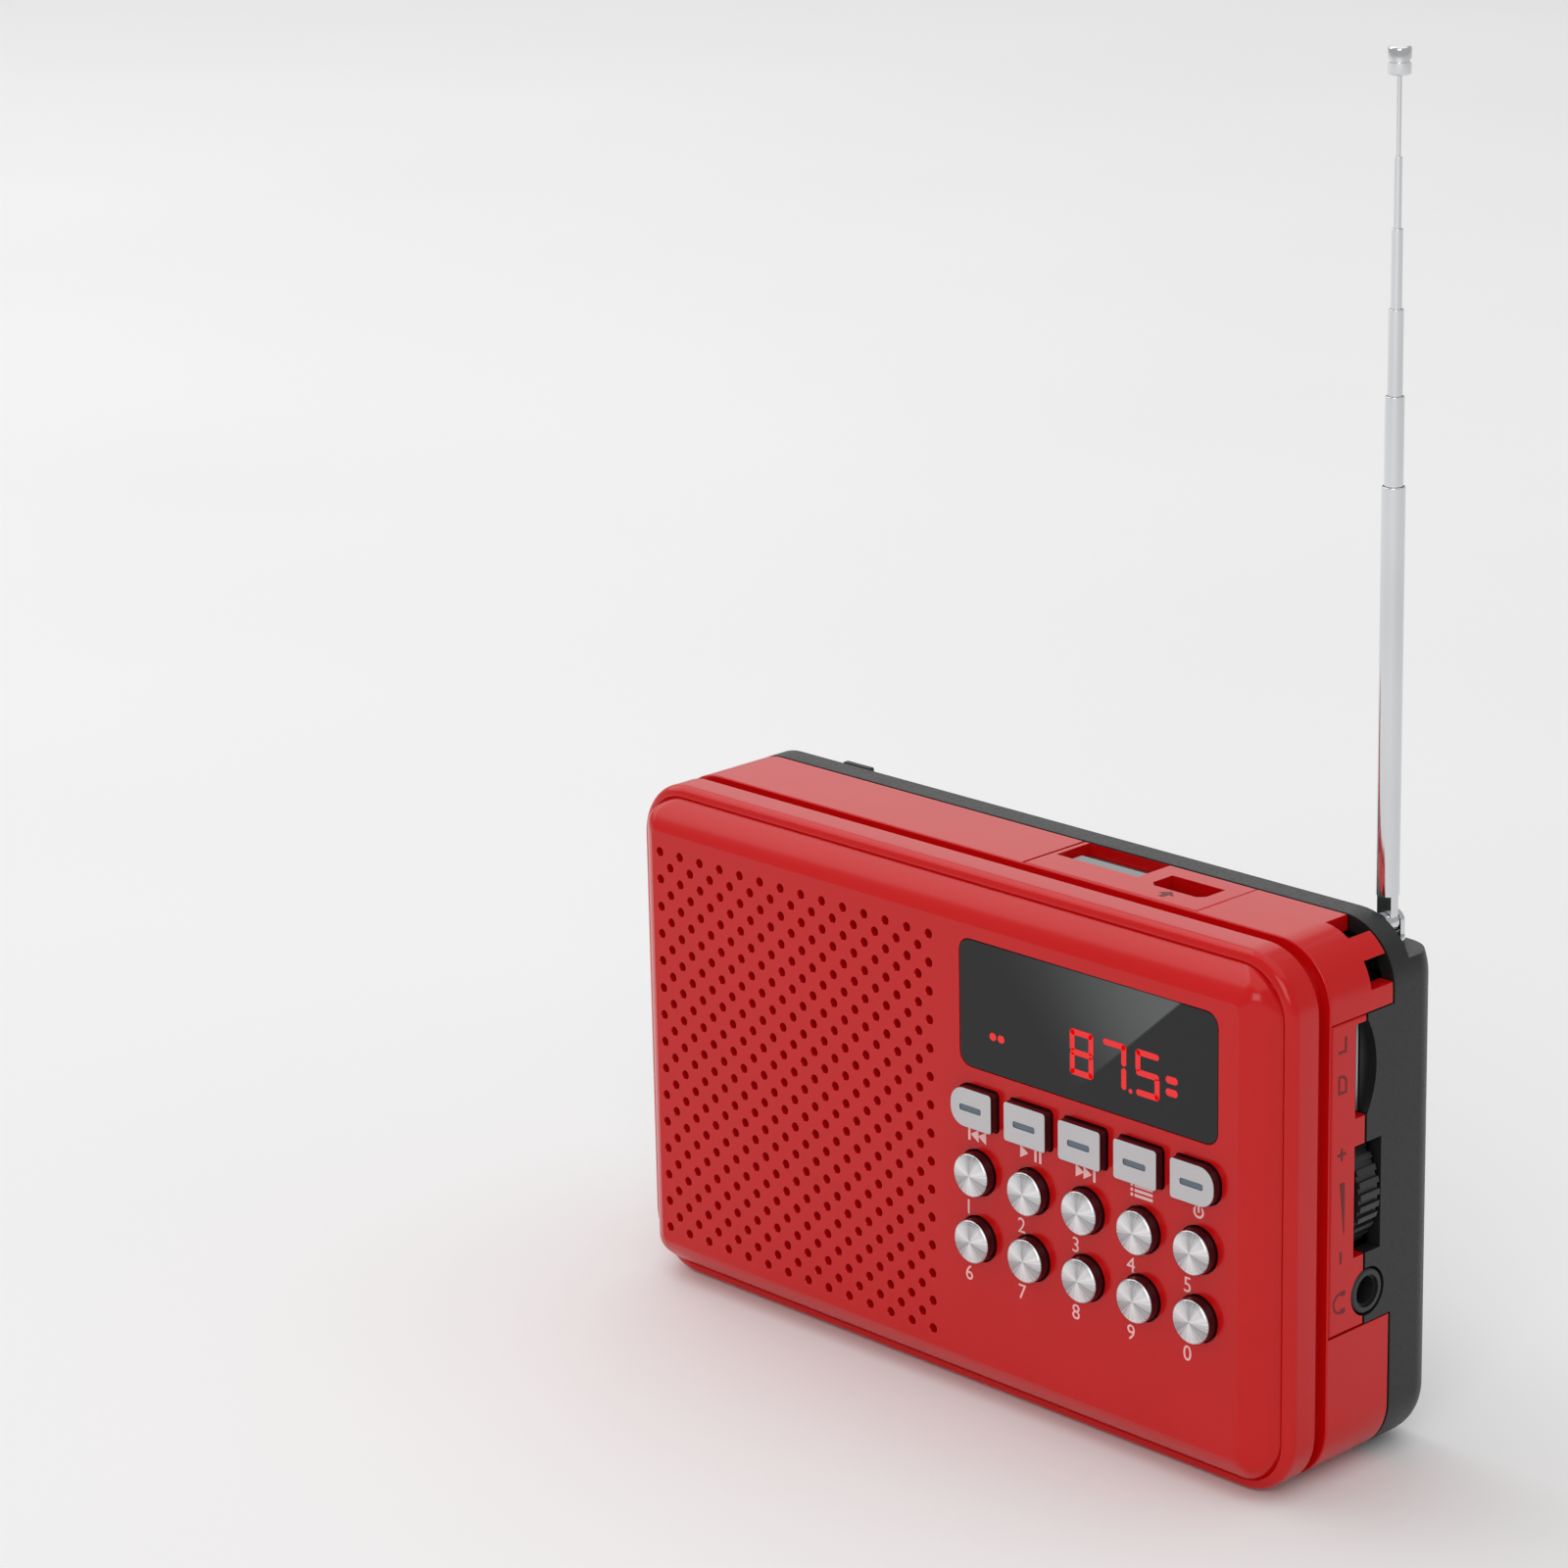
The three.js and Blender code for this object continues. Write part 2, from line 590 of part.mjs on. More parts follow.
/** The clearance hole of every key through the face. */
function keyHoles() {
  const holes = [];
  for (const [column, across] of keyColumns().entries()) {
    const grown = slab(functionKeyOutline(column, KEY_CLEARANCE), -1, FACE_THICKNESS + 1, KEY_FLATS);
    holes.push(grown.translate([across, 0, FUNCTION_KEY_UP]));
    for (const up of NUMBER_KEY_ROWS_UP) {
      holes.push(barY(across, up, NUMBER_KEY_R + KEY_CLEARANCE, -1, FACE_THICKNESS + 1, ROUND_FLATS));
    }
  }
  return join(holes);
}

/** Bosses that the case screws bite into. */
function bezelBosses() {
  const bosses = SCREW_PLACES.map(([x, z]) => {
    const boss = barY(x, z, POST_R, FACE_THICKNESS - 0.5, POST_FRONT - LIP_CLEARANCE);
    const pilot = barY(x, z, SCREW_SHANK_R + SHAFT_CLEARANCE, FACE_THICKNESS + 4, FRAME_REAR + 1);
    return boss.subtract(pilot);
  });
  return join(bosses).intersect(slab(casing(GROOVE_DEPTH + LIP_THICKNESS + LIP_CLEARANCE), 0, DEPTH));
}

/** Front bezel: raised face, convex shoulders, flat rim and side wall. */
function frontBezel() {
  const raised = pillow(casing(RIM_WIDTH), 0, 3 * RIM_DEPTH, SHOULDER_WIDTH, RIM_DEPTH, 3)
    .intersect(block(0, WIDTH, 0, RIM_DEPTH + 0.5, 0, HEIGHT));
  const skirt = slab(casing(0), RIM_DEPTH, BEZEL_DEPTH);
  const faceCavity = slab(casing(FACE_INSET - 0.5), FACE_THICKNESS, BEZEL_DEPTH + 1);
  const sideCavity = slab(casing(WALL), RIM_DEPTH + WALL, BEZEL_DEPTH + 1);
  const lipSeat = slab(
    casing(GROOVE_DEPTH - LIP_CLEARANCE), BEZEL_DEPTH - LIP_REACH - LIP_CLEARANCE, BEZEL_DEPTH + PAST);
  const windowSeat = slab(windowOutline(WINDOW_CLEARANCE), -1, WINDOW_THICKNESS + WINDOW_CLEARANCE);
  const aperture = slab(windowOutline(-WINDOW_LEDGE), -1, FACE_THICKNESS + 1);
  return raised.add(skirt)
    .subtract(join([faceCavity, sideCavity, lipSeat, windowSeat, aperture, keyHoles(), grilleHoles()]))
    .add(bezelBosses());
}

/** Outline of the display window, grown all round. */
function windowOutline(grow) {
  return outline(
    WINDOW_LEFT - grow, WINDOW_BOTTOM - grow,
    WINDOW_LEFT + WINDOW_WIDTH + grow, WINDOW_BOTTOM + WINDOW_HEIGHT + grow,
    Math.max(WINDOW_CORNER_R + grow, 0.4));
}

/** Clear, tinted window that sits flush in the face. */
function displayWindow() {
  return slab(windowOutline(0), 0, WINDOW_THICKNESS, KEY_FLATS);
}

// ---------------------------------------------------------------- mid-frame and its panels

/** Space cut through the top wall for its port panel, with a gap all round. */
function topPanelSpace(gap) {
  return block(
    TOP_PANEL_LEFT - gap, TOP_PANEL_RIGHT + gap, GROOVE_REAR - GROOVE_WIDTH / 2, COVER_FRONT + 1,
    HEIGHT - WALL - PANEL_FLANGE_THICKNESS - 1, HEIGHT + 1);
}

/** Space cut through the side wall for its port panel, with a gap all round. */
function sidePanelSpace(gap) {
  return block(
    WIDTH - WALL - PANEL_FLANGE_THICKNESS - 1, WIDTH + 1, GROOVE_REAR, COVER_FRONT + 1,
    SIDE_PANEL_BOTTOM - gap, SIDE_PANEL_TOP + gap);
}

/** Two notches at the rear edge of the upper right corner, which leave a bar for a wrist strap. */
function lanyardNotches() {
  const front = FRAME_REAR - LOOP_DEPTH;
  const top = block(LOOP_TOP_FROM, LOOP_TOP_TO, front, FRAME_REAR + 1, HEIGHT - CORNER_R / 2, HEIGHT + 1);
  const side = block(WIDTH - CORNER_R / 2, WIDTH + 1, front, FRAME_REAR + 1, LOOP_SIDE_FROM, LOOP_SIDE_TO);
  return top.add(side);
}

/** Red ring between the bezel and the rear cover, with the groove's lip in front. */
function midFrame() {
  const ring = casingRing(0, WALL, GROOVE_REAR, FRAME_REAR);
  const lip = casingRing(
    GROOVE_DEPTH, GROOVE_DEPTH + LIP_THICKNESS, BEZEL_DEPTH - LIP_REACH, GROOVE_REAR + 0.6);
  const panelSeat = join([
    block(
      TOP_PANEL_LEFT - PART_GAP, TOP_PANEL_RIGHT + PART_GAP,
      GROOVE_REAR + PART_GAP, FRAME_REAR + 1, HEIGHT - WALL - 1, HEIGHT + 1),
    block(
      WIDTH - WALL - 1, WIDTH + 1, GROOVE_REAR + PART_GAP, FRAME_REAR + 1,
      SIDE_PANEL_BOTTOM - PART_GAP, SIDE_PANEL_TOP + PART_GAP),
  ]);
  return ring.add(lip).subtract(panelSeat).subtract(lanyardNotches());
}

/** Panel let into the top wall, with openings for the USB-A and charging sockets. */
function topPortPanel() {
  const y0 = GROOVE_REAR + 2 * PART_GAP;
  const plate = block(TOP_PANEL_LEFT, TOP_PANEL_RIGHT, y0, FRAME_REAR, HEIGHT - WALL, HEIGHT);
  const flange = block(
    TOP_PANEL_LEFT - PANEL_FLANGE_WIDTH, TOP_PANEL_RIGHT + PANEL_FLANGE_WIDTH,
    y0 + LIP_THICKNESS, FRAME_REAR,
    HEIGHT - WALL - LIP_CLEARANCE - PANEL_FLANGE_THICKNESS, HEIGHT - WALL - LIP_CLEARANCE);
  const neck = block(
    TOP_PANEL_LEFT, TOP_PANEL_RIGHT, y0 + LIP_THICKNESS, FRAME_REAR,
    HEIGHT - WALL - LIP_CLEARANCE - 0.2, HEIGHT - WALL + 0.2);
  return join([plate, flange, neck])
    .subtract(usbOutline(SOCKET_CLEARANCE, 0, HEIGHT + 1))
    .subtract(chargeOutline(SOCKET_CLEARANCE, 0, HEIGHT + 1));
}

/** Panel let into the side wall, notched for the card slot, the volume wheel and the earphone jack. */
function sidePortPanel() {
  const y0 = GROOVE_REAR + 2 * PART_GAP;
  const y1 = COVER_STEP - PART_GAP;
  const plate = block(WIDTH - WALL, WIDTH, y0, y1, SIDE_PANEL_BOTTOM, SIDE_PANEL_TOP);
  const flangeX = WIDTH - WALL - LIP_CLEARANCE;
  const flange = block(
    flangeX - PANEL_FLANGE_THICKNESS, flangeX, y0 + LIP_THICKNESS, y1,
    SIDE_PANEL_BOTTOM - PANEL_FLANGE_WIDTH, SIDE_PANEL_TOP + PANEL_FLANGE_WIDTH);
  const neck = block(
    flangeX - 0.2, WIDTH - WALL + 0.2, y0 + LIP_THICKNESS, y1, SIDE_PANEL_BOTTOM, SIDE_PANEL_TOP);
  return join([plate, flange, neck]).subtract(sideOpenings());
}

/** Openings shared by the side panel and the rear cover's forward step. */
function sideOpenings() {
  const x0 = WIDTH - CORNER_R;
  const x1 = WIDTH + 1;
  const cardSlot = block(
    x0, x1, CARD_SLOT_FRONT, COVER_STEP, CARD_SLOT_BOTTOM, CARD_SLOT_BOTTOM + CARD_SLOT_LENGTH);
  const wheelSlot = block(
    x0, x1, WHEEL_SLOT_FRONT, WHEEL_SLOT_FRONT + WHEEL_SLOT_WIDTH,
    WHEEL_CENTRE_UP - WHEEL_SLOT_LENGTH / 2, WHEEL_CENTRE_UP + WHEEL_SLOT_LENGTH / 2);
  const wheelRoom = barY(
    WHEEL_CENTRE_ACROSS, WHEEL_CENTRE_UP, WHEEL_R + WHEEL_CLEARANCE,
    WHEEL_SLOT_FRONT, WHEEL_SLOT_FRONT + WHEEL_SLOT_WIDTH, 3 * SMALL_FLATS);
  const jackHole = barX(
    JACK_CENTRE_BACK, JACK_CENTRE_UP, JACK_RING_R + SOCKET_CLEARANCE, x0, x1, ROUND_FLATS);
  return join([cardSlot, wheelSlot, wheelRoom, jackHole]);
}

// ---------------------------------------------------------------- rear cover and battery door

/** Outer solid of the rear cover, its rear edges rounded over. */
function coverBody() {
  return pillow(casing(0), COVER_FRONT - REAR_EDGE_R - 1, DEPTH, REAR_EDGE_R, REAR_EDGE_R, 3)
    .intersect(block(-1, WIDTH + 1, COVER_FRONT, DEPTH + 1, -1, HEIGHT + 1));
}

/** Hollow inside of the rear cover, stepped round the antenna rebate. */
function coverCavity() {
  const room = slab(casing(WALL), COVER_FRONT - 1, COVER_INSIDE);
  const underRebate = block(
    0, WIDTH, REBATE_FRONT - REBATE_WALL, DEPTH, REBATE_FLOOR - REBATE_WALL, HEIGHT);
  return room.subtract(underRebate);
}

/** The open step along the top rear edge that the folded antenna lies in. */
function antennaRebate() {
  return block(-1, WIDTH + 1, REBATE_FRONT, DEPTH + 1, REBATE_FLOOR, HEIGHT + 1);
}

/** Plain shell of the cover before its bay, door and details. */
function coverShell() {
  return coverBody().subtract(coverCavity()).subtract(antennaRebate());
}

/** Box that the battery door is taken from, drawn in by a gap. */
function doorSpace(gap) {
  return block(
    -1, DOOR_RIGHT - gap, DOOR_FRONT + gap, DEPTH + 1, DOOR_BOTTOM + gap, DOOR_TOP - gap);
}

/** Walls and floor of the battery bay. */
function batteryBay() {
  const rear = COVER_INSIDE - PART_GAP - RAIL_THICKNESS;
  const outside = block(
    BAY_LEFT - BAY_WALL, BAY_RIGHT + BAY_WALL, BAY_FLOOR, rear,
    BAY_BOTTOM - BAY_WALL, BAY_TOP + BAY_WALL);
  const inside = block(BAY_LEFT, BAY_RIGHT, BAY_FLOOR + BAY_WALL, DEPTH, BAY_BOTTOM, BAY_TOP);
  return outside.subtract(inside);
}

/** Ribs that hold the bay to the cover's underside and to the rebate floor. */
function bayRibs() {
  const rear = COVER_INSIDE - PART_GAP - RAIL_THICKNESS;
  const ribs = [];
  for (const x0 of [BAY_LEFT + RIB_INSET, BAY_RIGHT - RIB_INSET]) {
    const x1 = x0 + BAY_WALL;
    ribs.push(block(x0, x1, BAY_FLOOR, rear, WALL / 2, BAY_BOTTOM - BAY_WALL / 2));
    ribs.push(block(x0, x1, BAY_FLOOR, rear, BAY_TOP + BAY_WALL / 2, REBATE_FLOOR - REBATE_WALL / 2));
  }
  return join(ribs);
}

/** Posts that the case screws pass through. */
function coverPosts() {
  const posts = SCREW_PLACES.map(([x, z]) => barY(x, z, POST_R, POST_FRONT, COVER_INSIDE + 0.5));
  const inside = slab(casing(WALL + LIP_CLEARANCE), POST_FRONT - 1, COVER_FRONT + 1);
  return join(posts).intersect(coverBody().add(inside));
}

/** Screw holes with counterbores for their heads. */
function screwHoles() {
  const shankR = SCREW_SHANK_R + SCREW_HOLE_CLEARANCE;
  const headR = SCREW_HEAD_R + PART_GAP;
  const headSeat = DEPTH - SCREW_SINK - SCREW_HEAD_THICKNESS - PART_GAP;
  const holes = SCREW_PLACES.map(([x, z]) => {
    const shank = barY(x, z, shankR, POST_FRONT - PAST, DEPTH + PAST);
    const head = barY(x, z, headR, headSeat, DEPTH + PAST, ROUND_FLATS);
    return shank.add(head);
  });
  return join(holes);
}

/** Lip that slides inside the mid-frame, left out beside the port panels. */
function coverLip() {
  const outer = WALL + LIP_CLEARANCE;
  const ring = casingRing(outer, outer + LIP_THICKNESS, FRAME_REAR - LIP_REACH, COVER_FRONT + 0.2);
  const tie = casingRing(WALL - 0.5, outer + LIP_THICKNESS, COVER_FRONT, COVER_FRONT + LIP_THICKNESS);
  const clearance = PANEL_FLANGE_WIDTH + LIP_CLEARANCE;
  return ring.add(tie)
    .subtract(topPanelSpace(clearance))
    .subtract(sidePanelSpace(clearance))
    .subtract(block(
      LOOP_TOP_FROM - LOOP_FLOOR, WIDTH, FRAME_REAR - LIP_REACH - 1, FRAME_REAR,
      LOOP_SIDE_FROM - LOOP_FLOOR, HEIGHT));
}

/** The step of the cover's side wall that reaches forward to the side port panel. */
function coverStep() {
  const step = block(
    WIDTH - WALL, WIDTH, COVER_STEP, COVER_FRONT + 1, SIDE_PANEL_BOTTOM, SIDE_PANEL_TOP);
  return step.subtract(sideOpenings());
}

/** Finger scoop beside the card slot. */
function cardScoop() {
  const halfSlot = CARD_SLOT_LENGTH / 2;
  const radius = (halfSlot ** 2 + SCOOP_REACH ** 2) / (2 * SCOOP_REACH);
  const centre = COVER_STEP + SCOOP_REACH - radius;
  return barX(centre, CARD_SLOT_MIDDLE, radius, WIDTH - SCOOP_DEPTH, WIDTH + 1, 40);
}

/** Clip on the rebate floor that the folded antenna snaps into. */
function antennaClip() {
  const gap = SECTION_RADII[0] + CLIP_CLEARANCE;
  const x0 = CLIP_CENTRE - CLIP_LENGTH / 2;
  const x1 = CLIP_CENTRE + CLIP_LENGTH / 2;
  const z0 = REBATE_FLOOR - REBATE_WALL / 2;
  const z1 = HEIGHT - CLIP_DROP;
  const front = block(x0, x1, ANTENNA_BACK - gap - CLIP_WALL, ANTENNA_BACK - gap, z0, z1);
  const rear = block(x0, x1, ANTENNA_BACK + gap, ANTENNA_BACK + gap + CLIP_WALL, z0, z1);
  return front.add(rear);
}

/** Rear cover with bay, posts, rebate, clip and antenna seat. */
function rearCover() {
  const swivelHole = barZ(
    ANTENNA_ACROSS, ANTENNA_BACK, SWIVEL_POST_R + SWIVEL_POST_CLEARANCE,
    SWIVEL_POST_FOOT - LIP_CLEARANCE, HEIGHT, 16);
  const bracketPilot = barZ(
    ANTENNA_ACROSS - BRACKET_LENGTH + BRACKET_WIDTH, ANTENNA_BACK - BRACKET_SCREW_FORWARD,
    BRACKET_SCREW_R + SHAFT_CLEARANCE, REBATE_FLOOR - REBATE_WALL - 1,
    REBATE_FLOOR - REBATE_WALL + BRACKET_SCREW_LENGTH);
  return coverShell()
    .subtract(doorSpace(0))
    .add(batteryBay())
    .add(bayRibs())
    .add(coverPosts())
    .add(coverLip())
    .add(coverStep())
    .add(antennaClip())
    .subtract(sideOpenings().intersect(block(0, WIDTH + 1, 0, COVER_FRONT + 5, 0, HEIGHT)))
    .subtract(cardScoop())
    .subtract(screwHoles())
    .subtract(swivelHole)
    .subtract(bracketPilot);
}

/** Battery door: part of the cover's back and left side, with rails that run under the cover. */
function batteryDoor() {
  const plate = coverBody()
    .subtract(coverCavity())
    .subtract(antennaRebate())
    .intersect(doorSpace(PART_GAP));
  const rear = COVER_INSIDE - PART_GAP;
  const x1 = DOOR_RIGHT - 2;
  const x0 = x1 - RAIL_LENGTH;
  const rails = [1, -1].map((side) => {
    const edge = side > 0 ? DOOR_TOP : DOOR_BOTTOM;
    const inner = edge - side * (PART_GAP + RAIL_ROOT);
    const outer = edge + side * RAIL_REACH;
    const rootEdge = edge - side * PART_GAP;
    const tongue = block(
      x0, x1, rear - RAIL_THICKNESS, rear, Math.min(inner, outer), Math.max(inner, outer));
    const root = block(
      x0, x1, rear - 0.2, COVER_INSIDE + 0.2, Math.min(inner, rootEdge), Math.max(inner, rootEdge));
    return tongue.add(root);
  });
  const grips = Array.from({ length: GRIP_GROOVES }, (_, index) => {
    const x = GRIP_INSET + index * GRIP_PITCH;
    const middle = (DOOR_BOTTOM + DOOR_TOP) / 2;
    return block(
      x, x + GRIP_WIDTH, DEPTH - GRIP_DEPTH, DEPTH + PAST,
      middle - GRIP_LENGTH / 2, middle + GRIP_LENGTH / 2);
  });
  return plate.add(join(rails)).subtract(join(grips));
}

// ---------------------------------------------------------------- boards and sockets

/** Outline of both circuit boards, notched round the lower screw boss. */
function boardPlate(y0, y1) {
  const plate = block(BOARD_LEFT, BOARD_RIGHT, y0, y1, BOARD_EDGE_INSET, HEIGHT - BOARD_EDGE_INSET);
  const notch = block(
    WIDTH - CORNER_R - 3, WIDTH, y0 - 1, y1 + 1, 0, BOARD_NOTCH);
  const corner = block(
    WIDTH - CORNER_R, WIDTH, y0 - 1, y1 + 1, HEIGHT - CORNER_R, HEIGHT);
  return plate.subtract(notch).subtract(corner);
}

/** Rubber mat under the keys. */
function keypadMat() {
  const halfSpan = (KEY_COLUMNS - 1) * KEY_PITCH / 2 + NUMBER_KEY_R + MAT_MARGIN;
  const z0 = NUMBER_KEY_ROWS_UP[1] - NUMBER_KEY_R - MAT_MARGIN;
  const z1 = FUNCTION_KEY_UP + FUNCTION_KEY_HEIGHT / 2;
  const shape = outline(KEY_COLUMNS_CENTRE - halfSpan, z0, KEY_COLUMNS_CENTRE + halfSpan, z1, 1);
  return slab(shape, MAT_FRONT, MAT_FRONT + MAT_THICKNESS, 2);
}

/** Seven-segment display block behind the window. */
function displayModule() {
  const inset = WINDOW_LEDGE + 0.4;
  return block(
    WINDOW_LEFT + inset, WINDOW_LEFT + WINDOW_WIDTH - inset,
    FACE_THICKNESS + PART_GAP, KEY_BOARD_FRONT - PART_GAP,
    WINDOW_BOTTOM + inset, WINDOW_BOTTOM + WINDOW_HEIGHT - inset);
}

/** Pin header that joins the two boards. */
function boardHeader() {
  const x0 = KEY_COLUMNS_CENTRE - HEADER_LENGTH / 2;
  const z0 = BOARD_EDGE_INSET + 2;
  return block(
    x0, x0 + HEADER_LENGTH, KEY_BOARD_REAR + PART_GAP, MAIN_BOARD_FRONT - PART_GAP,
    z0, z0 + HEADER_WIDTH);
}

/** Controller chip on the back of the main board. */
function controlChip() {
  const x0 = USB_CENTRE - CHIP_SIZE / 2;
  return block(
    x0, x0 + CHIP_SIZE, SOCKET_FRONT, SOCKET_FRONT + CHIP_THICKNESS,
    SIDE_PANEL_BOTTOM, SIDE_PANEL_BOTTOM + CHIP_SIZE);
}

/** The USB-A socket's outer box, grown all round. */
function usbOutline(grow, z0, z1) {
  return block(
    USB_CENTRE - USB_WIDTH / 2 - grow, USB_CENTRE + USB_WIDTH / 2 + grow,
    USB_FRONT - grow, USB_FRONT + USB_HEIGHT + grow, z0, z1);
}

/** Metal shell of the USB-A socket, open at the top. */
function usbSocket() {
  const z0 = HEIGHT - USB_LENGTH;
  const mouth = usbOutline(-USB_WALL, z0 + USB_FLOOR, HEIGHT + PAST);
  return usbOutline(0, z0, HEIGHT - USB_SINK).subtract(mouth);
}

/** Plastic tongue that carries the USB-A contacts. */
function usbTongue() {
  const z0 = HEIGHT - USB_LENGTH + USB_FLOOR + USB_TONGUE_GAP;
  const y0 = USB_FRONT + USB_WALL + USB_TONGUE_GAP;
  const half = USB_TONGUE_WIDTH / 2;
  const base = usbOutline(-USB_WALL - USB_TONGUE_GAP, z0, z0 + USB_FLOOR);
  const tongue = block(
    USB_CENTRE - half, USB_CENTRE + half, y0, y0 + USB_TONGUE_THICKNESS, z0, HEIGHT - USB_TONGUE_SINK);
  return base.add(tongue);
}

/** The charging socket's tapered outline, grown all round. */
function chargeOutline(grow, z0, z1) {
  const half = CHARGE_WIDTH / 2 + grow;
  const y0 = CHARGE_FRONT - grow;
  const y1 = CHARGE_FRONT + CHARGE_HEIGHT + grow;
  const waist = CHARGE_FRONT + CHARGE_HEIGHT * CHARGE_WAIST;
  const shape = new THREE.Shape();
  shape.moveTo(CHARGE_CENTRE - half + CHARGE_TAPER, y0);
  shape.lineTo(CHARGE_CENTRE + half - CHARGE_TAPER, y0);
  shape.lineTo(CHARGE_CENTRE + half, waist);
  shape.lineTo(CHARGE_CENTRE + half, y1);
  shape.lineTo(CHARGE_CENTRE - half, y1);
  shape.lineTo(CHARGE_CENTRE - half, waist);
  const geometry = new THREE.ExtrudeGeometry(shape, { depth: z1 - z0, bevelEnabled: false });
  geometry.translate(0, 0, z0);
  return toSolid(geometry);
}

/** Metal shell of the charging socket, open at the top. */
function chargeSocket() {
  const z0 = HEIGHT - CHARGE_LENGTH;
  const mouth = chargeOutline(-SOCKET_WALL, z0 + CHARGE_FLOOR, HEIGHT + PAST);
  return chargeOutline(0, z0, HEIGHT - CHARGE_SINK).subtract(mouth);
}

/** Memory card socket, open towards the side. */
function cardSocket() {
  const x1 = WIDTH - CARD_SOCKET_SINK;
  const x0 = x1 - CARD_SOCKET_LENGTH;
  const y0 = CARD_SLOT_FRONT + PART_GAP;
  const y1 = CARD_SLOT_FRONT + CARD_SLOT_WIDTH - PART_GAP;
  const z0 = CARD_SLOT_BOTTOM + LIP_CLEARANCE;
  const z1 = CARD_SLOT_BOTTOM + CARD_SLOT_LENGTH - LIP_CLEARANCE;
  const wall = CARD_SOCKET_WALL;
  const shell = block(x0, x1, y0, y1, z0, z1);
  const mouth = block(x0 + PAST, x1 + PAST, y0 + wall, y1 - wall, z0 + wall, z1 - wall);
  return shell.subtract(mouth);
}

/** Earphone jack: moulded body with a round nose and a bore. */
function earphoneJack() {
  const noseRear = WIDTH - WALL - PANEL_FLANGE_THICKNESS - 2 * LIP_CLEARANCE;
  const half = JACK_RING_R;
  const body = block(
    noseRear - JACK_BODY_LENGTH, noseRear, JACK_CENTRE_BACK - half, JACK_CENTRE_BACK + half,
    JACK_CENTRE_UP - half, JACK_CENTRE_UP + half);
  const nose = barX(JACK_CENTRE_BACK, JACK_CENTRE_UP, JACK_RING_R, noseRear - 1, WIDTH, 20);
  const bore = barX(JACK_CENTRE_BACK, JACK_CENTRE_UP, JACK_BORE_R, WIDTH - JACK_BORE_DEPTH, WIDTH + 1, 16);
  return body.add(nose).subtract(bore);
}

/** Volume control: square body and a shaft for the wheel. */
function volumePot() {
  const half = POT_SIZE / 2;
  const body = block(
    WHEEL_CENTRE_ACROSS - half, WHEEL_CENTRE_ACROSS + half, SOCKET_FRONT, SOCKET_FRONT + POT_THICKNESS,
    WHEEL_CENTRE_UP - half, WHEEL_CENTRE_UP + half);
  const shaft = barY(
    WHEEL_CENTRE_ACROSS, WHEEL_CENTRE_UP, POT_SHAFT_R,
    SOCKET_FRONT, WHEEL_FRONT + WHEEL_THICKNESS + 0.4, 16);
  return body.add(shaft);
}

/** Ridged volume wheel about its own centre, with a bore for the shaft. */
function volumeWheel() {
  const shape = new THREE.Shape();
  const pointsPerRidge = 4;
  const count = WHEEL_RIDGES * pointsPerRidge;
  for (let index = 0; index < count; index += 1) {
    const angle = index / count * Math.PI * 2;
    const outward = index % pointsPerRidge < 2;
    const radius = outward ? WHEEL_R : WHEEL_R - WHEEL_RIDGE_DEPTH;
    const x = radius * Math.cos(angle);
    const z = radius * Math.sin(angle);
    if (index === 0) {
      shape.moveTo(x, z);
    } else {
      shape.lineTo(x, z);
    }
  }
  const disc = slab(shape, 0, WHEEL_THICKNESS);
  return disc.subtract(barY(0, 0, POT_SHAFT_R + SHAFT_CLEARANCE, -1, WHEEL_THICKNESS + 1, 16));
}

// ---------------------------------------------------------------- speaker

/** Pressed metal frame of the speaker. */
function speakerFrame() {
  const y0 = SPEAKER_FRONT;
  const y1 = BASKET_REAR;
  const t = SPEAKER_METAL;
  return turned(GRILLE_CENTRE, GRILLE_MIDDLE, [
    [SPEAKER_R - CONE_INSET, y0],
    [SPEAKER_R, y0],
    [SPEAKER_R, y0 + SPEAKER_FLANGE],
    [SPEAKER_R - CONE_INSET, y0 + SPEAKER_FLANGE],
    [BASKET_R, y1],
    [BASKET_R - 7, y1],
    [BASKET_R - 7, y1 - t],
    [BASKET_R - t, y1 - t],
    [SPEAKER_R - CONE_INSET - t, y0 + SPEAKER_FLANGE],
    [SPEAKER_R - CONE_INSET - t, y0],
    [SPEAKER_R - CONE_INSET, y0],
  ]);
}

/** Paper cone with its dust cap. */
function speakerCone() {
  const rim = SPEAKER_R - CONE_INSET - SPEAKER_METAL - LIP_CLEARANCE;
  const front = SPEAKER_FRONT + CONE_SET_BACK;
  const rear = front + CONE_DEPTH;
  return turned(GRILLE_CENTRE, GRILLE_MIDDLE, [
    [0, rear - CONE_CAP_RISE],
    [CONE_CAP_R, rear - CONE_PAPER],
    [rim - CONE_SURROUND, front],
    [rim, front],
    [rim, front + CONE_RIM],
    [rim - CONE_SURROUND + CONE_RIM, front + CONE_RIM],
    [CONE_CAP_R, rear],
    [0, rear],
  ]);
}

/** Magnet and its plates behind the frame. */
function speakerMagnet() {
  const y0 = BASKET_REAR + PART_GAP;
  return barY(GRILLE_CENTRE, GRILLE_MIDDLE, MAGNET_R, y0, y0 + MAGNET_THICKNESS, LARGE_FLATS);
}

// ---------------------------------------------------------------- battery

/** Flat rechargeable battery. */
function battery() {
  const x0 = BAY_LEFT + 1;
  const z0 = BAY_BOTTOM + (BAY_HEIGHT - BATTERY_HEIGHT) / 2;
  return slab(
    outline(x0, z0, x0 + BATTERY_LENGTH, z0 + BATTERY_HEIGHT, 1.5),
    BATTERY_FRONT, BATTERY_FRONT + BATTERY_THICKNESS, 2);
}

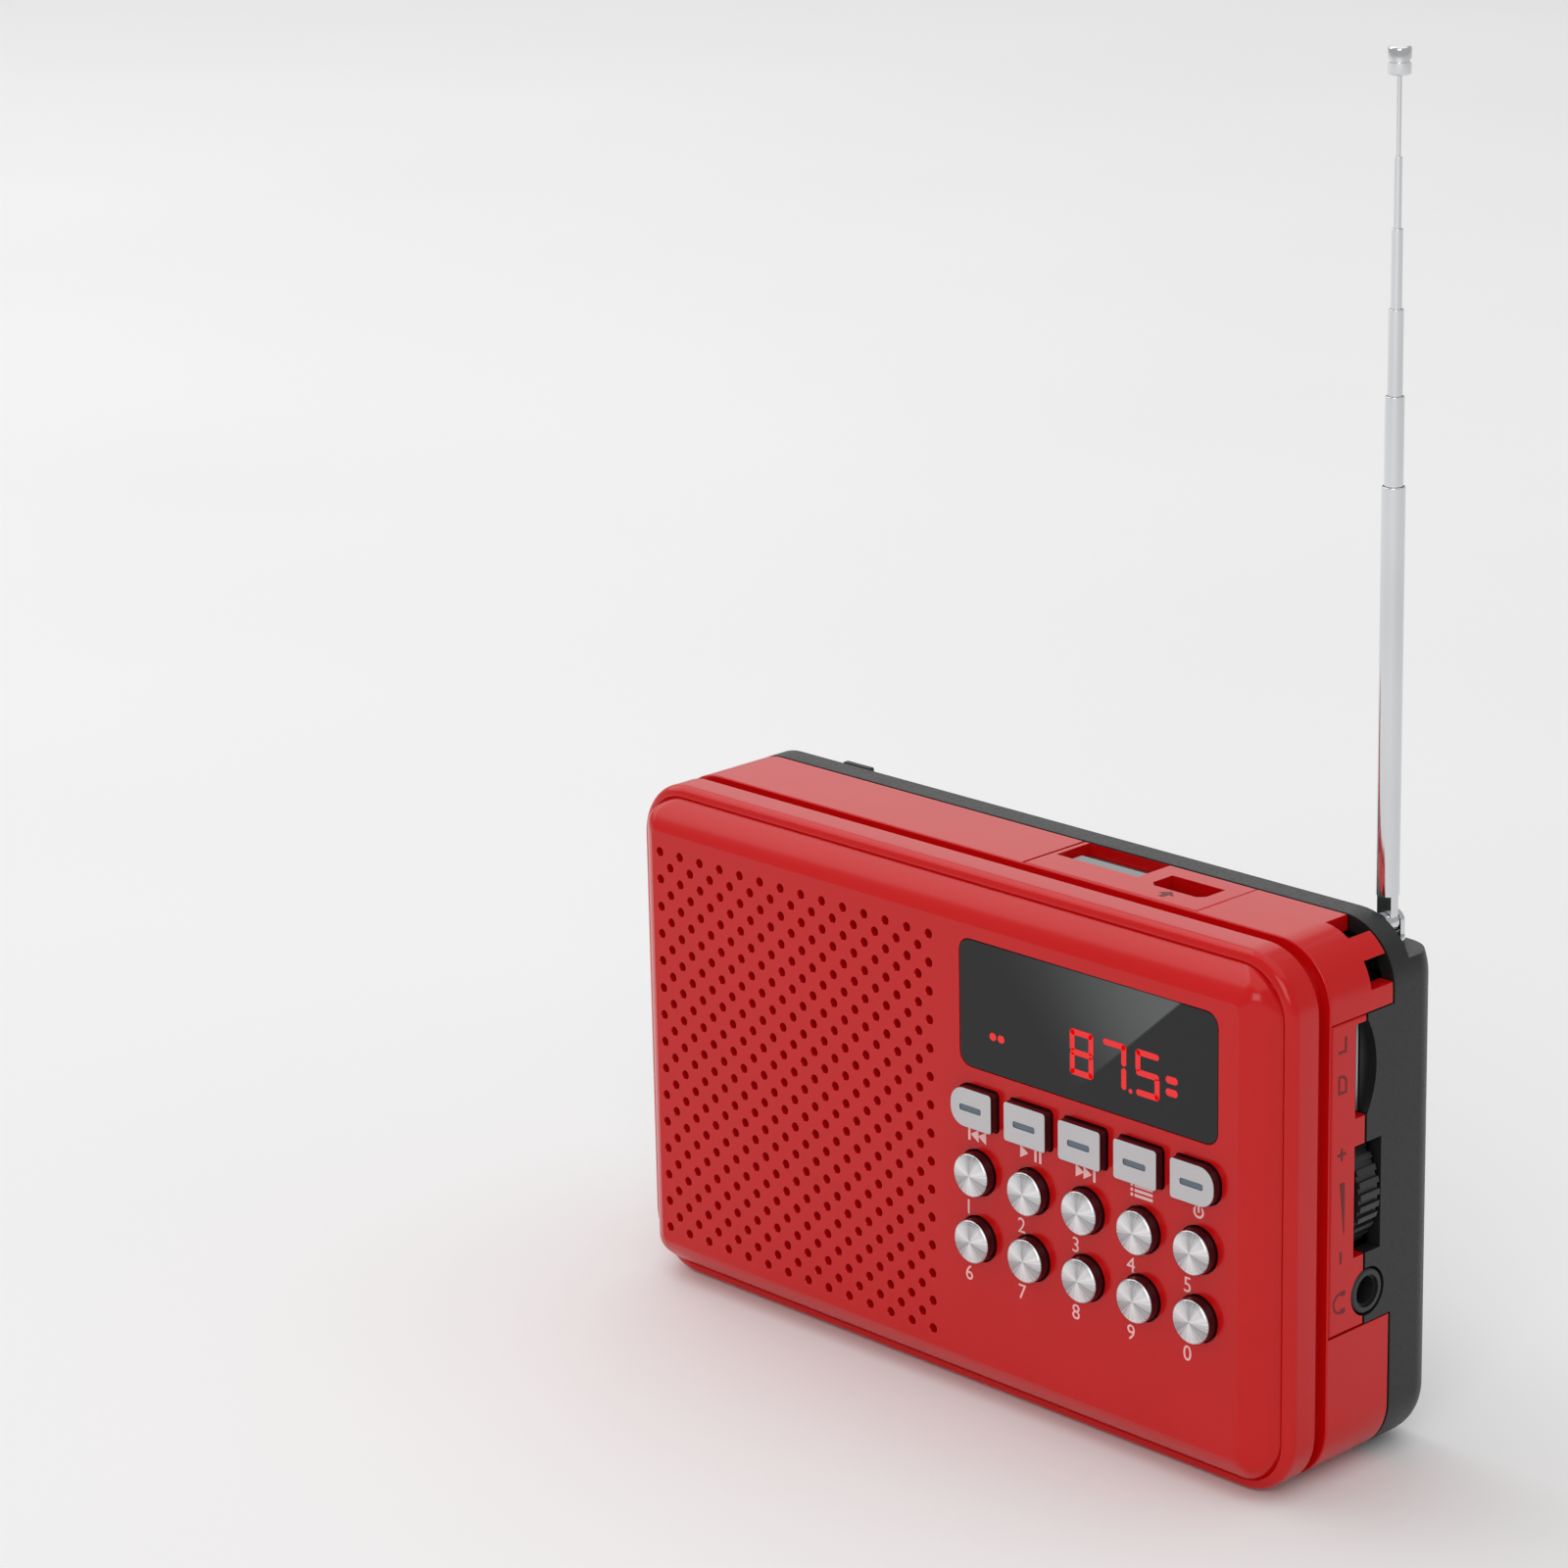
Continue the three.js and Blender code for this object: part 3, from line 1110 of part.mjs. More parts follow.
/** Moulded block that holds the battery contacts. */
function contactBlock() {
  const x1 = BAY_RIGHT - PART_GAP;
  const middle = BAY_BOTTOM + BAY_HEIGHT / 2;
  const half = CONTACT_PITCH * 1.5 + 1;
  return block(
    x1 - CONTACT_BLOCK_LENGTH, x1, BATTERY_FRONT, BATTERY_FRONT + BATTERY_THICKNESS,
    middle - half, middle + half);
}

/** One spring contact on the block. */
function batteryContact() {
  const x1 = BAY_RIGHT - PART_GAP - CONTACT_BLOCK_LENGTH - 0.3;
  const mid = BATTERY_FRONT + BATTERY_THICKNESS / 2;
  return block(x1 - CONTACT_REACH, x1, mid - 1.2, mid + 1.2, -CONTACT_WIDTH / 2, CONTACT_WIDTH / 2);
}

// ---------------------------------------------------------------- fasteners

/** A cross-slotted case screw about its own axis, head at the rear. */
function caseScrew() {
  const headRear = DEPTH - SCREW_SINK;
  const headFront = headRear - SCREW_HEAD_THICKNESS;
  const tip = POST_FRONT - LIP_CLEARANCE - SCREW_BITE;
  const slotReach = SCREW_HEAD_R * 0.7;
  const slotHalf = SCREW_SLOT_WIDTH / 2;
  const slotFloor = headRear - SCREW_SLOT_DEPTH;
  const head = barY(0, 0, SCREW_HEAD_R, headFront, headRear, ROUND_FLATS);
  const shank = barY(0, 0, SCREW_SHANK_R, tip, headFront + JOIN);
  const across = block(-slotReach, slotReach, slotFloor, DEPTH, -slotHalf, slotHalf);
  const upright = block(-slotHalf, slotHalf, slotFloor, DEPTH, -slotReach, slotReach);
  return head.add(shank).subtract(across).subtract(upright);
}

// ---------------------------------------------------------------- antenna

/** Yoke that turns in the rebate floor: round base, lower post and two ears. */
function antennaSwivel() {
  const z0 = REBATE_FLOOR + SWIVEL_LIFT;
  const base = barZ(0, 0, YOKE_R, z0, z0 + YOKE_BASE, 20);
  const post = barZ(0, 0, SWIVEL_POST_R, SWIVEL_POST_FOOT, z0 + 0.3, 16);
  const inner = EYE_THICKNESS / 2 + YOKE_GAP;
  const ears = [-1, 1].map((side) => {
    const y0 = Math.min(side * inner, side * (inner + YOKE_EAR));
    const round = barY(0, PIVOT_UP, EYE_R, y0, y0 + YOKE_EAR, 16);
    const leg = block(-EYE_R, EYE_R, y0, y0 + YOKE_EAR, z0 + 0.2, PIVOT_UP);
    return round.add(leg);
  });
  const hole = barY(0, PIVOT_UP, PIN_R + PIN_CLEARANCE, -YOKE_R - 1, YOKE_R + 1, 16);
  return join([base, post, ...ears]).subtract(hole);
}

/** Pin through the ears and the eye. */
function antennaPin() {
  const half = EYE_THICKNESS / 2 + YOKE_GAP + YOKE_EAR;
  return barY(0, PIVOT_UP, PIN_R, -half, half, 16);
}

/** Outer section of the antenna with its flattened eye at the foot. */
function antennaBaseSection() {
  const radius = SECTION_RADII[0];
  const start = PIVOT_UP + BASE_TUBE_START;
  const end = start + BASE_TUBE_PLUG + SECTION_LENGTH;
  const tube = barZ(0, 0, radius, start, end);
  const bore = barZ(0, 0, radius - SECTION_WALL, start + BASE_TUBE_PLUG, end + 1);
  const half = EYE_THICKNESS / 2;
  const eye = barY(0, PIVOT_UP, EYE_R - 0.1, -half, half, 16);
  const neck = block(-EYE_R * 0.75, EYE_R * 0.75, -half, half, PIVOT_UP, start + 0.5);
  const hole = barY(0, PIVOT_UP, PIN_R + PIN_CLEARANCE, -2, 2, 16);
  return tube.subtract(bore).add(eye).add(neck).subtract(hole);
}

/** Height of the top of each section, outer one first, as it stands part drawn. */
function sectionTops() {
  const tops = [PIVOT_UP + BASE_TUBE_START + BASE_TUBE_PLUG + SECTION_LENGTH];
  for (const showing of SECTION_SHOWING.slice(1)) {
    tops.push(tops[tops.length - 1] + showing);
  }
  return tops;
}

/** One inner section about the antenna's own axis: a thin tube, or a rod if it is the last. */
function antennaInnerSection(index) {
  const top = sectionTops()[index];
  const radius = SECTION_RADII[index];
  const foot = top - SECTION_LENGTH + index * 0.8;
  const tube = barZ(0, 0, radius, foot, top);
  if (index === SECTION_RADII.length - 1) {
    return tube;
  }
  return tube.subtract(barZ(0, 0, radius - SECTION_WALL, foot - 1, top + 1));
}

/** Knob on the end of the last section. */
function antennaTip() {
  const foot = sectionTops().at(-1) + 0.05;
  return toSolid(
    new THREE.CylinderGeometry(TIP_R, TIP_R, TIP_LENGTH, 16)
      .rotateX(Math.PI / 2)
      .translate(0, 0, foot + TIP_LENGTH / 2));
}

/** Bracket under the rebate floor that carries the swivel's post. */
function antennaBracket() {
  const z1 = REBATE_FLOOR - REBATE_WALL - 0.1;
  const z0 = z1 - BRACKET_THICKNESS;
  const plate = block(
    -BRACKET_LENGTH + BRACKET_WIDTH / 2, BRACKET_WIDTH / 2,
    -BRACKET_WIDTH / 2, BRACKET_WIDTH / 2 - 1.6, z0, z1);
  const hole = barZ(0, 0, SWIVEL_POST_R + SWIVEL_POST_CLEARANCE, z0 - 1, z1 + 1, 16);
  const screwHole = barZ(
    -BRACKET_LENGTH + BRACKET_WIDTH, -BRACKET_SCREW_FORWARD, BRACKET_SCREW_R + 0.15, z0 - 1, z1 + 1);
  return plate.subtract(hole).subtract(screwHole);
}

/** Screw that fastens the bracket up into the rebate floor. */
function antennaScrew() {
  const z1 = REBATE_FLOOR - REBATE_WALL - 0.1;
  const z0 = z1 - BRACKET_THICKNESS;
  const x = -BRACKET_LENGTH + BRACKET_WIDTH;
  const head = barZ(x, -BRACKET_SCREW_FORWARD, BRACKET_SCREW_R * 1.7, z0 - 1.3, z0 - 0.1);
  const shank = barZ(x, -BRACKET_SCREW_FORWARD, BRACKET_SCREW_R, z0 - 0.3, z1 + BRACKET_SCREW_LENGTH);
  return head.add(shank);
}

// ---------------------------------------------------------------- assembly

place('front_bezel', frontBezel(), 'redGloss');
place('display_window', displayWindow(), 'windowBlack');
place('mid_frame', midFrame(), 'redGloss');
place('top_port_panel', topPortPanel(), 'redGloss');
place('side_port_panel', sidePortPanel(), 'redGloss');
place('rear_cover', rearCover(), 'blackSatin');
place('battery_door', batteryDoor(), 'blackSatin');
addKeys();
place('keypad_mat', keypadMat(), 'rubber');
place('key_board', boardPlate(KEY_BOARD_FRONT, KEY_BOARD_REAR), 'board');
place('display_module', displayModule(), 'darkPart');
place('main_board', boardPlate(MAIN_BOARD_FRONT, MAIN_BOARD_REAR), 'board');
place('board_header', boardHeader(), 'darkPart');
place('control_chip', controlChip(), 'darkPart');
place('usb_socket', usbSocket(), 'steel');
place('usb_tongue', usbTongue(), 'darkPart');
place('charge_socket', chargeSocket(), 'steel');
place('card_socket', cardSocket(), 'steel');
place('earphone_jack', earphoneJack(), 'darkPart');
place('volume_pot', volumePot(), 'darkPart');
place('volume_wheel', volumeWheel(), 'darkPart', [WHEEL_CENTRE_ACROSS, WHEEL_FRONT, WHEEL_CENTRE_UP]);
place('speaker_frame', speakerFrame(), 'steel');
place('speaker_cone', speakerCone(), 'paperCone');
place('speaker_magnet', speakerMagnet(), 'magnet');
place('battery', battery(), 'batteryWrap');
place('contact_block', contactBlock(), 'darkPart');
for (let index = 0; index < 3; index += 1) {
  const up = BAY_BOTTOM + BAY_HEIGHT / 2 + (index - 1) * CONTACT_PITCH;
  place(`battery_contact_${index + 1}`, batteryContact(), 'brass', [0, 0, up]);
}
SCREW_PLACES.forEach(([x, z], index) => {
  place(`case_screw_${index + 1}`, caseScrew(), 'steel', [x, 0, z]);
});

const antenna = new THREE.Group();
antenna.position.set(ANTENNA_ACROSS, ANTENNA_BACK, 0);
radio.add(antenna);
place('antenna_bracket', antennaBracket(), 'steel', [0, 0, 0], antenna);
place('antenna_screw', antennaScrew(), 'steel', [0, 0, 0], antenna);
place('antenna_swivel', antennaSwivel(), 'chrome', [0, 0, 0], antenna);
place('antenna_pin', antennaPin(), 'steel', [0, 0, 0], antenna);
place('antenna_section_1', antennaBaseSection(), 'chrome', [0, 0, 0], antenna);
for (let index = 1; index < SECTION_RADII.length; index += 1) {
  place(`antenna_section_${index + 1}`, antennaInnerSection(index), 'chrome', [0, 0, 0], antenna);
}
place('antenna_tip', antennaTip(), 'chrome', [0, 0, 0], antenna);

// The frame's origin is under the middle of the whole radio, on the surface it stands on.
radio.position.set(-(WIDTH + WHEEL_PROUD) / 2, -(DEPTH - NUMBER_KEY_PROUD) / 2, 0);
const model = new THREE.Group();
model.add(radio);

export default model;
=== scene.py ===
"""Looks of a pocket speaker radio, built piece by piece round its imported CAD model.

Sizes are in millimetres from the bezel's lower left front corner: X to the right, Y back from
the face and Z up. The place helper turns them into the frame's metres.
"""

import json
import logging
import math
from dataclasses import dataclass
from enum import Enum
from typing import Callable, Iterable, Optional

import bpy
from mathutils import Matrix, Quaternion, Vector


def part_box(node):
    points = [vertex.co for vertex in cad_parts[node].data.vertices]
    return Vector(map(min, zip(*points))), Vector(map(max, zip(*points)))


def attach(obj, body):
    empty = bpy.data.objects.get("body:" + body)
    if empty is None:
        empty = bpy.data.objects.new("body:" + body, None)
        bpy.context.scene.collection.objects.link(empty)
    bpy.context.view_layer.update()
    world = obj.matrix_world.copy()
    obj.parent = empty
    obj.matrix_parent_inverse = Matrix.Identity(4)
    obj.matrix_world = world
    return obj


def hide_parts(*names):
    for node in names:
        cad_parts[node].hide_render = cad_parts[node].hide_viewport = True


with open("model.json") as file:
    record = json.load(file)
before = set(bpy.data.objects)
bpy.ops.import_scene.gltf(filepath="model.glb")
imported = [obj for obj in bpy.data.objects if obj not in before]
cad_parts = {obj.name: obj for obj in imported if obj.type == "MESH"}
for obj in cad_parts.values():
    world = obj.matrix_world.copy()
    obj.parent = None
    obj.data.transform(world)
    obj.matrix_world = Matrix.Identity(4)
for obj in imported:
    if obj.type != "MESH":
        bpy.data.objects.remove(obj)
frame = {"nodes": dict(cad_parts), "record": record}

MM = 0.001
LOG = logging.getLogger("radio")
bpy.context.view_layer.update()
# The key caps stand proud of the face, so sizes are counted from the bezel's own corner.
ORIGIN = Vector(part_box("front_bezel")[0])
# How far a cutting tool reaches past the surface that it opens.
PAST = 1.0
Span = tuple[float, float]
Triple = tuple[float, float, float]


def place(x: float, y: float, z: float) -> Vector:
    """Turn a place on the radio into a point of the frame.

    Args:
        x: Millimetres from the left side.
        y: Millimetres back from the face.
        z: Millimetres up from the underside.

    Returns:
        The point in metres.
    """
    return ORIGIN + Vector((x, y, z)) * MM


# ------------------------------------------------------------------ finishes

# The standard curve between sRGB and linear light.
SRGB_KNEE, SRGB_SLOPE, SRGB_LIFT, SRGB_POWER = 0.04045, 12.92, 0.055, 2.4


def linear(colour: str) -> tuple[float, float, float, float]:
    """Turn an sRGB hex colour into linear light.

    Args:
        colour: Six hex digits.

    Returns:
        Red, green, blue and an alpha of one.
    """
    parts = [int(colour[index : index + 2], 16) / 255 for index in (0, 2, 4)]
    light = [
        part / SRGB_SLOPE
        if part <= SRGB_KNEE
        else ((part + SRGB_LIFT) / (1 + SRGB_LIFT)) ** SRGB_POWER
        for part in parts
    ]
    return (light[0], light[1], light[2], 1.0)


def add_node(
    tree: bpy.types.NodeTree,
    kind: str,
    settings: Optional[dict] = None,
    inputs: Optional[dict] = None,
) -> bpy.types.Node:
    """Add a node with its settings, values and links.

    Args:
        tree: The material's node tree.
        kind: The node's type name.
        settings: Properties of the node by name.
        inputs: Values or output sockets by input name or number.

    Returns:
        The new node.
    """
    node = tree.nodes.new(kind)
    for name, value in (settings or {}).items():
        setattr(node, name, value)
    for name, value in (inputs or {}).items():
        if isinstance(value, bpy.types.NodeSocket):
            tree.links.new(value, node.inputs[name])
        else:
            node.inputs[name].default_value = value
    return node


def total(
    tree: bpy.types.NodeTree, operation: str, *values: object, vector: bool = False
) -> bpy.types.NodeSocket:
    """Add a sum on numbers or on vectors.

    Args:
        tree: The material's node tree.
        operation: The sum's name.
        values: Values or output sockets, in order.
        vector: True if the sum is on vectors.

    Returns:
        The result's socket.
    """
    kind = "ShaderNodeVectorMath" if vector else "ShaderNodeMath"
    node = add_node(tree, kind, {"operation": operation}, dict(enumerate(values)))
    return node.outputs["Vector" if vector and operation != "DOT_PRODUCT" else "Value"]


def ramp(
    tree: bpy.types.NodeTree,
    value: bpy.types.NodeSocket,
    to: Span,
    since: Span = (0.0, 1.0),
    smooth: bool = False,
) -> bpy.types.NodeSocket:
    """Stretch a number from one range to another, held at both ends.

    Args:
        tree: The material's node tree.
        value: The number's socket.
        to: The new range.
        since: The old range.
        smooth: True to ease in and out.

    Returns:
        The result's socket.
    """
    node = add_node(
        tree,
        "ShaderNodeMapRange",
        {"interpolation_type": "SMOOTHSTEP" if smooth else "LINEAR"},
        {
            "Value": value,
            "From Min": since[0],
            "From Max": since[1],
            "To Min": to[0],
            "To Max": to[1],
        },
    )
    return node.outputs[0]


def blend(
    tree: bpy.types.NodeTree, share: bpy.types.NodeSocket, first: object, second: object
) -> bpy.types.NodeSocket:
    """Mix two colours.

    Args:
        tree: The material's node tree.
        share: How much of the second colour there is.
        first: The first colour or its socket.
        second: The second colour or its socket.

    Returns:
        The mixed colour's socket.
    """
    node = add_node(tree, "ShaderNodeMix", {"data_type": "RGBA"}, {0: share, 6: first, 7: second})
    return node.outputs[2]


@dataclass(frozen=True)
class Sheen:
    """A painted reflection: a slanting sheen laid into a sheet's colour, sharp on its right and
    fading to the left.

    Attributes:
        colour: The painted reflection's sRGB colour.
        foot: Where its edge starts, across and up.
        top: Where its edge ends, across and up.
        edge: How soft its edge is in millimetres.
        fade: How far it takes to fade.
        least: What is left of it after that.
        rise: How far up the edge it takes to come to full strength.
    """

    colour: str = "5a5c5c"
    foot: Span = (80.6, 45.6)
    top: Span = (99.4, 62.5)
    edge: float = 0.3
    fade: float = 30.0
    least: float = 0.35
    rise: float = 24.0

    def over(
        self, tree: bpy.types.NodeTree, spot: bpy.types.NodeSocket, under: bpy.types.NodeSocket
    ) -> bpy.types.NodeSocket:
        """Paint the sheen over a colour as a painted reflection.

        Args:
            tree: The material's node tree.
            spot: The object coordinates.
            under: The colour below.

        Returns:
            The new colour's socket.
        """
        foot, top = place(self.foot[0], 0, self.foot[1]), place(self.top[0], 0, self.top[1])
        run = (top - foot).normalized()
        across = total(tree, "SUBTRACT", spot, tuple(foot), vector=True)
        beside = total(tree, "DOT_PRODUCT", across, (-run.z, 0.0, run.x), vector=True)
        along = total(tree, "DOT_PRODUCT", across, tuple(run), vector=True)
        inside = ramp(tree, beside, (0.0, 1.0), (0.0, self.edge * MM))
        fade = ramp(tree, beside, (1.0, self.least), (0.0, self.fade * MM), smooth=True)
        lift = ramp(tree, along, (0.0, 1.0), (0.0, self.rise * MM), smooth=True)
        amount = total(tree, "MULTIPLY", total(tree, "MULTIPLY", inside, fade), lift)
        return blend(tree, amount, under, linear(self.colour))


class Texture(Enum):
    """How a surface was made, which sets the pattern on it."""

    MOULDED = "moulded"
    SPARKED = "spark eroded"
    BRUSHED = "brushed"
    # Turning marks with bright fans painted in as a painted reflection.
    SPUN = "spun"
    LIT = "lit"


# Detail of the broad colour and of the fine grain, and how strongly the grain tilts the light.
CLOUD_DETAIL, GRAIN_DETAIL, BUMP_STRENGTH = 2.0, 4.0, 0.6
# How much longer than wide the lines of a drawn or rolled metal are.
BRUSH_SQUEEZE = (1.0, 1.0, 0.04)
# Painted reflection on a turned face: bright fans painted into the colour with darker ones between
# them: how many, and how far they lift the turning marks.
PAINTED_FANS, PAINTED_FAN_LIFT = 3.0, (-0.1, 0.45)
# Turning marks on that face.
STREAK_SCALE, STREAK_DETAIL = 9.0, 5.0


@dataclass(frozen=True)
class Finish:
    """One real material and how its surface was made.

    Attributes:
        name: The material's plain name.
        texture: How the surface was made.
        light: Its lighter sRGB colour.
        dark: Its darker sRGB colour.
        roughness: Lowest and highest roughness.
        grain: Size of the grain in millimetres.
        relief: Height of the grain in millimetres.
        metallic: One for a metal.
        ior: Refractive index of a plastic. A metal keeps the default.
        glow: Strength of its own light.
        cloud: Size of the broad colour variation in millimetres.
        sheen: A slanting sheen painted into the colour as a painted reflection, if it has one.
    """

    name: str
    texture: Texture
    light: str
    dark: str
    roughness: tuple[float, float]
    grain: float
    relief: float
    metallic: float = 0.0
    ior: float = 1.5
    glow: float = 0.0
    cloud: float = 18.0
    sheen: Optional[Sheen] = None

    def material(self) -> bpy.types.Material:
        """Give the finish's material, made once.

        Returns:
            The material.
        """
        ready = bpy.data.materials.get(self.name)
        return ready if ready else self._make()

    def _make(self) -> bpy.types.Material:
        """Build the node tree.

        Returns:
            The new material.
        """
        material = bpy.data.materials.new(self.name)
        material.use_nodes = True
        tree = material.node_tree
        tree.nodes.clear()
        shader = add_node(
            tree,
            "ShaderNodeBsdfPrincipled",
            inputs={"Metallic": self.metallic, "IOR": self.ior},
        )
        add_node(tree, "ShaderNodeOutputMaterial", inputs={"Surface": shader.outputs[0]})
        spot = add_node(tree, "ShaderNodeTexCoord").outputs["Object"]
        grain = self._grain(tree, spot)
        # On a turned face the colour follows the turning marks and the painted reflection of the
        # fans.
        colour_by = grain
        if self.texture is not Texture.SPUN:
            colour_by = self._noise(tree, spot, self.cloud, CLOUD_DETAIL)
        colour = blend(tree, colour_by, linear(self.dark), linear(self.light))
        # A painted reflection: the sheen is laid into the base colour.
        if self.sheen:
            colour = self.sheen.over(tree, spot, colour)
        bump = add_node(
            tree,
            "ShaderNodeBump",
            inputs={"Strength": BUMP_STRENGTH, "Distance": self.relief * MM, "Height": grain},
        )
        tree.links.new(colour, shader.inputs["Base Color"])
        tree.links.new(ramp(tree, grain, self.roughness), shader.inputs["Roughness"])
        tree.links.new(bump.outputs[0], shader.inputs["Normal"])
        if self.texture is Texture.LIT:
            shader.inputs["Emission Color"].default_value = linear(self.light)
            shader.inputs["Emission Strength"].default_value = self.glow
        return material

    @staticmethod
    def _noise(
        tree: bpy.types.NodeTree, spot: bpy.types.NodeSocket, size: float, detail: float
    ) -> bpy.types.NodeSocket:
        """Make an even noise.

        Args:
            tree: The material's node tree.
            spot: The coordinates it lies on.
            size: Its size in millimetres.
            detail: How much finer noise lies on it.

        Returns:
            A socket between nought and one.
        """
        inputs = {"Vector": spot, "Scale": 1 / (size * MM), "Detail": detail}
        return add_node(tree, "ShaderNodeTexNoise", inputs=inputs).outputs[0]

    def _grain(self, tree: bpy.types.NodeTree, spot: bpy.types.NodeSocket) -> bpy.types.NodeSocket:
        """Make the fine pattern that the finish's texture calls for.

        Args:
            tree: The material's node tree.
            spot: The object coordinates.

        Returns:
            A socket between nought and one.
        """
        if self.texture is Texture.SPUN:
            return self._spun(tree)
        if self.texture is Texture.SPARKED:
            inputs = {"Vector": spot, "Scale": 1 / (self.grain * MM)}
            return add_node(tree, "ShaderNodeTexVoronoi", inputs=inputs).outputs["Distance"]
        if self.texture is Texture.BRUSHED:
            inputs = {"Vector": spot, "Scale": BRUSH_SQUEEZE}
            spot = add_node(tree, "ShaderNodeMapping", inputs=inputs).outputs[0]
        return self._noise(tree, spot, self.grain, GRAIN_DETAIL)

    @staticmethod
    def _spun(tree: bpy.types.NodeTree) -> bpy.types.NodeSocket:
        """Make turning marks that run out from the middle of a key, with bright fans painted in as
        a painted reflection.

        Args:
            tree: The material's node tree.

        Returns:
            A socket between nought and one.
        """
        plan = add_node(tree, "ShaderNodeUVMap", {"uv_map": "plan"}).outputs[0]
        parts = add_node(tree, "ShaderNodeSeparateXYZ", inputs={0: plan}).outputs
        turn = total(tree, "ARCTAN2", parts[1], parts[0])
        # Painted reflection: bright and dark fans by the angle round the key.
        fans = total(tree, "SINE", total(tree, "MULTIPLY", turn, PAINTED_FANS))
        unit = total(tree, "NORMALIZE", plan, vector=True)
        inputs = {"Vector": unit, "Scale": STREAK_SCALE, "Detail": STREAK_DETAIL}
        streaks = add_node(tree, "ShaderNodeTexNoise", inputs=inputs).outputs[0]
        lift = ramp(tree, fans, PAINTED_FAN_LIFT, (-1.0, 1.0))
        both = {"operation": "ADD", "use_clamp": True}
        return add_node(tree, "ShaderNodeMath", both, {0: lift, 1: streaks}).outputs[0]


# Injection-moulded ABS from a polished tool: an even red with a hard gloss and a faint ripple.
RED_ABS = Finish(
    "red gloss ABS", Texture.MOULDED, "c8090b", "c00608", (0.16, 0.22), 2.5, 0.003, ior=1.4
)
# The same ABS where a mark is moulded in: darker, and duller from the tool's etching.
RED_MARK = Finish(
    "etched red ABS mark", Texture.SPARKED, "740407", "600305", (0.4, 0.6), 0.3, 0.01, ior=1.44
)
# ABS from a spark-eroded tool: charcoal with a fine satin grain that spreads the light.
BLACK_ABS = Finish(
    "black satin ABS", Texture.SPARKED, "1d1e1e", "171818", (0.34, 0.5), 0.35, 0.012, ior=1.46
)
# Tinted acrylic sheet: nearly black, polished flat, with a clear hard reflection, and a slanting
# sheen painted into its colour as a painted reflection.
WINDOW_ACRYLIC = Finish(
    "tinted acrylic",
    Texture.MOULDED,
    "0b0b0c",
    "070708",
    (0.05, 0.09),
    6.0,
    0.001,
    ior=1.42,
    sheen=Sheen(),
)
# Lit segments as they show in the tinted sheet: deep red, even, with the sheet's gloss on top.
LIT_SEGMENT = Finish(
    "lit red segment", Texture.LIT, "d60e12", "b00a0d", (0.1, 0.2), 0.6, 0.001, glow=0.5
)
# Silver-grey paint on the keys' fronts: even, fine-grained and softly bright.
KEY_GREY = Finish(
    "silver grey paint", Texture.SPARKED, "c6c3c5", "bab7ba", (0.3, 0.42), 0.25, 0.004, ior=1.5
)
# Sides of the keys: a dark red-brown that is painted shade from the gap round each key, with a
# painted reflection of the red face in it; its gloss picks up the red round it.
KEY_SIDE_SHADE = Finish(
    "painted shade on key sides", Texture.MOULDED, "3a1218", "22070b", (0.16, 0.26), 1.2, 0.004, ior=1.6
)
# Blue-grey ink sunk in a key's line.
KEY_LINE = Finish("blue grey ink", Texture.SPARKED, "66737f", "5a6672", (0.45, 0.6), 0.2, 0.004)
# Turned aluminium key caps: fine marks from the middle, with bright sectors painted into the colour
# as a painted reflection of the light.
SPUN_ALUMINIUM = Finish(
    "spun aluminium", Texture.SPUN, "f2f2f3", "6e6b70", (0.2, 0.34), 0.1, 0.004, metallic=1.0
)
# Screen-printed numbers: a thin pinkish white ink.
PRINT_INK = Finish("pale print ink", Texture.MOULDED, "f4c4c4", "eeb4b4", (0.4, 0.55), 0.4, 0.002)
# Chrome-plated brass tube: a clear mirror with faint drawing lines along it.
CHROME = Finish(
    "drawn chrome tube", Texture.BRUSHED, "e2e3e5", "cfd1d4", (0.07, 0.16), 0.5, 0.001, metallic=1.0
)
# Tin-plated pressed steel: soft grey with rolling lines.
PLATED_STEEL = Finish(
    "tin plated steel", Texture.BRUSHED, "b3b6ba", "9c9fa4", (0.25, 0.4), 0.4, 0.002, metallic=1.0
)
# Contact brass: warm and bright.
CONTACT_BRASS = Finish(
    "contact brass", Texture.BRUSHED, "d0ad5c", "b9954a", (0.2, 0.35), 0.4, 0.002, metallic=1.0
)
# Glass-fibre board under green solder mask, with the weave just showing through.
SOLDER_MASK = Finish(
    "green solder mask", Texture.SPARKED, "1f6a3b", "175230", (0.3, 0.5), 0.9, 0.01, ior=1.55
)
# Glass-filled moulding compound for sockets, wheels and chips: black and matt.
DARK_NYLON = Finish(
    "black nylon", Texture.SPARKED, "1e1f20", "151617", (0.35, 0.55), 0.25, 0.008, ior=1.53
)
# Unfilled nylon for the USB tongue: mid grey with a dull shine.
GREY_NYLON = Finish(
    "grey nylon", Texture.SPARKED, "8c9190", "7c8180", (0.35, 0.5), 0.25, 0.006, ior=1.53
)
# Silicone keypad sheet: milky and dull.
SILICONE = Finish(
    "grey silicone", Texture.MOULDED, "bdbab4", "aeaba5", (0.6, 0.75), 0.8, 0.006, ior=1.41
)
# Pressed paper pulp: dark and fibrous.
PAPER_PULP = Finish(
    "pressed paper", Texture.MOULDED, "2e2b27", "1f1d1a", (0.8, 0.95), 0.5, 0.05, ior=1.45
)
# Zinc-coated ferrite ring and plates: dull grey metal.
ZINC_COAT = Finish(
    "zinc coat", Texture.SPARKED, "6b6d72", "55575c", (0.4, 0.6), 0.5, 0.008, metallic=1.0
)
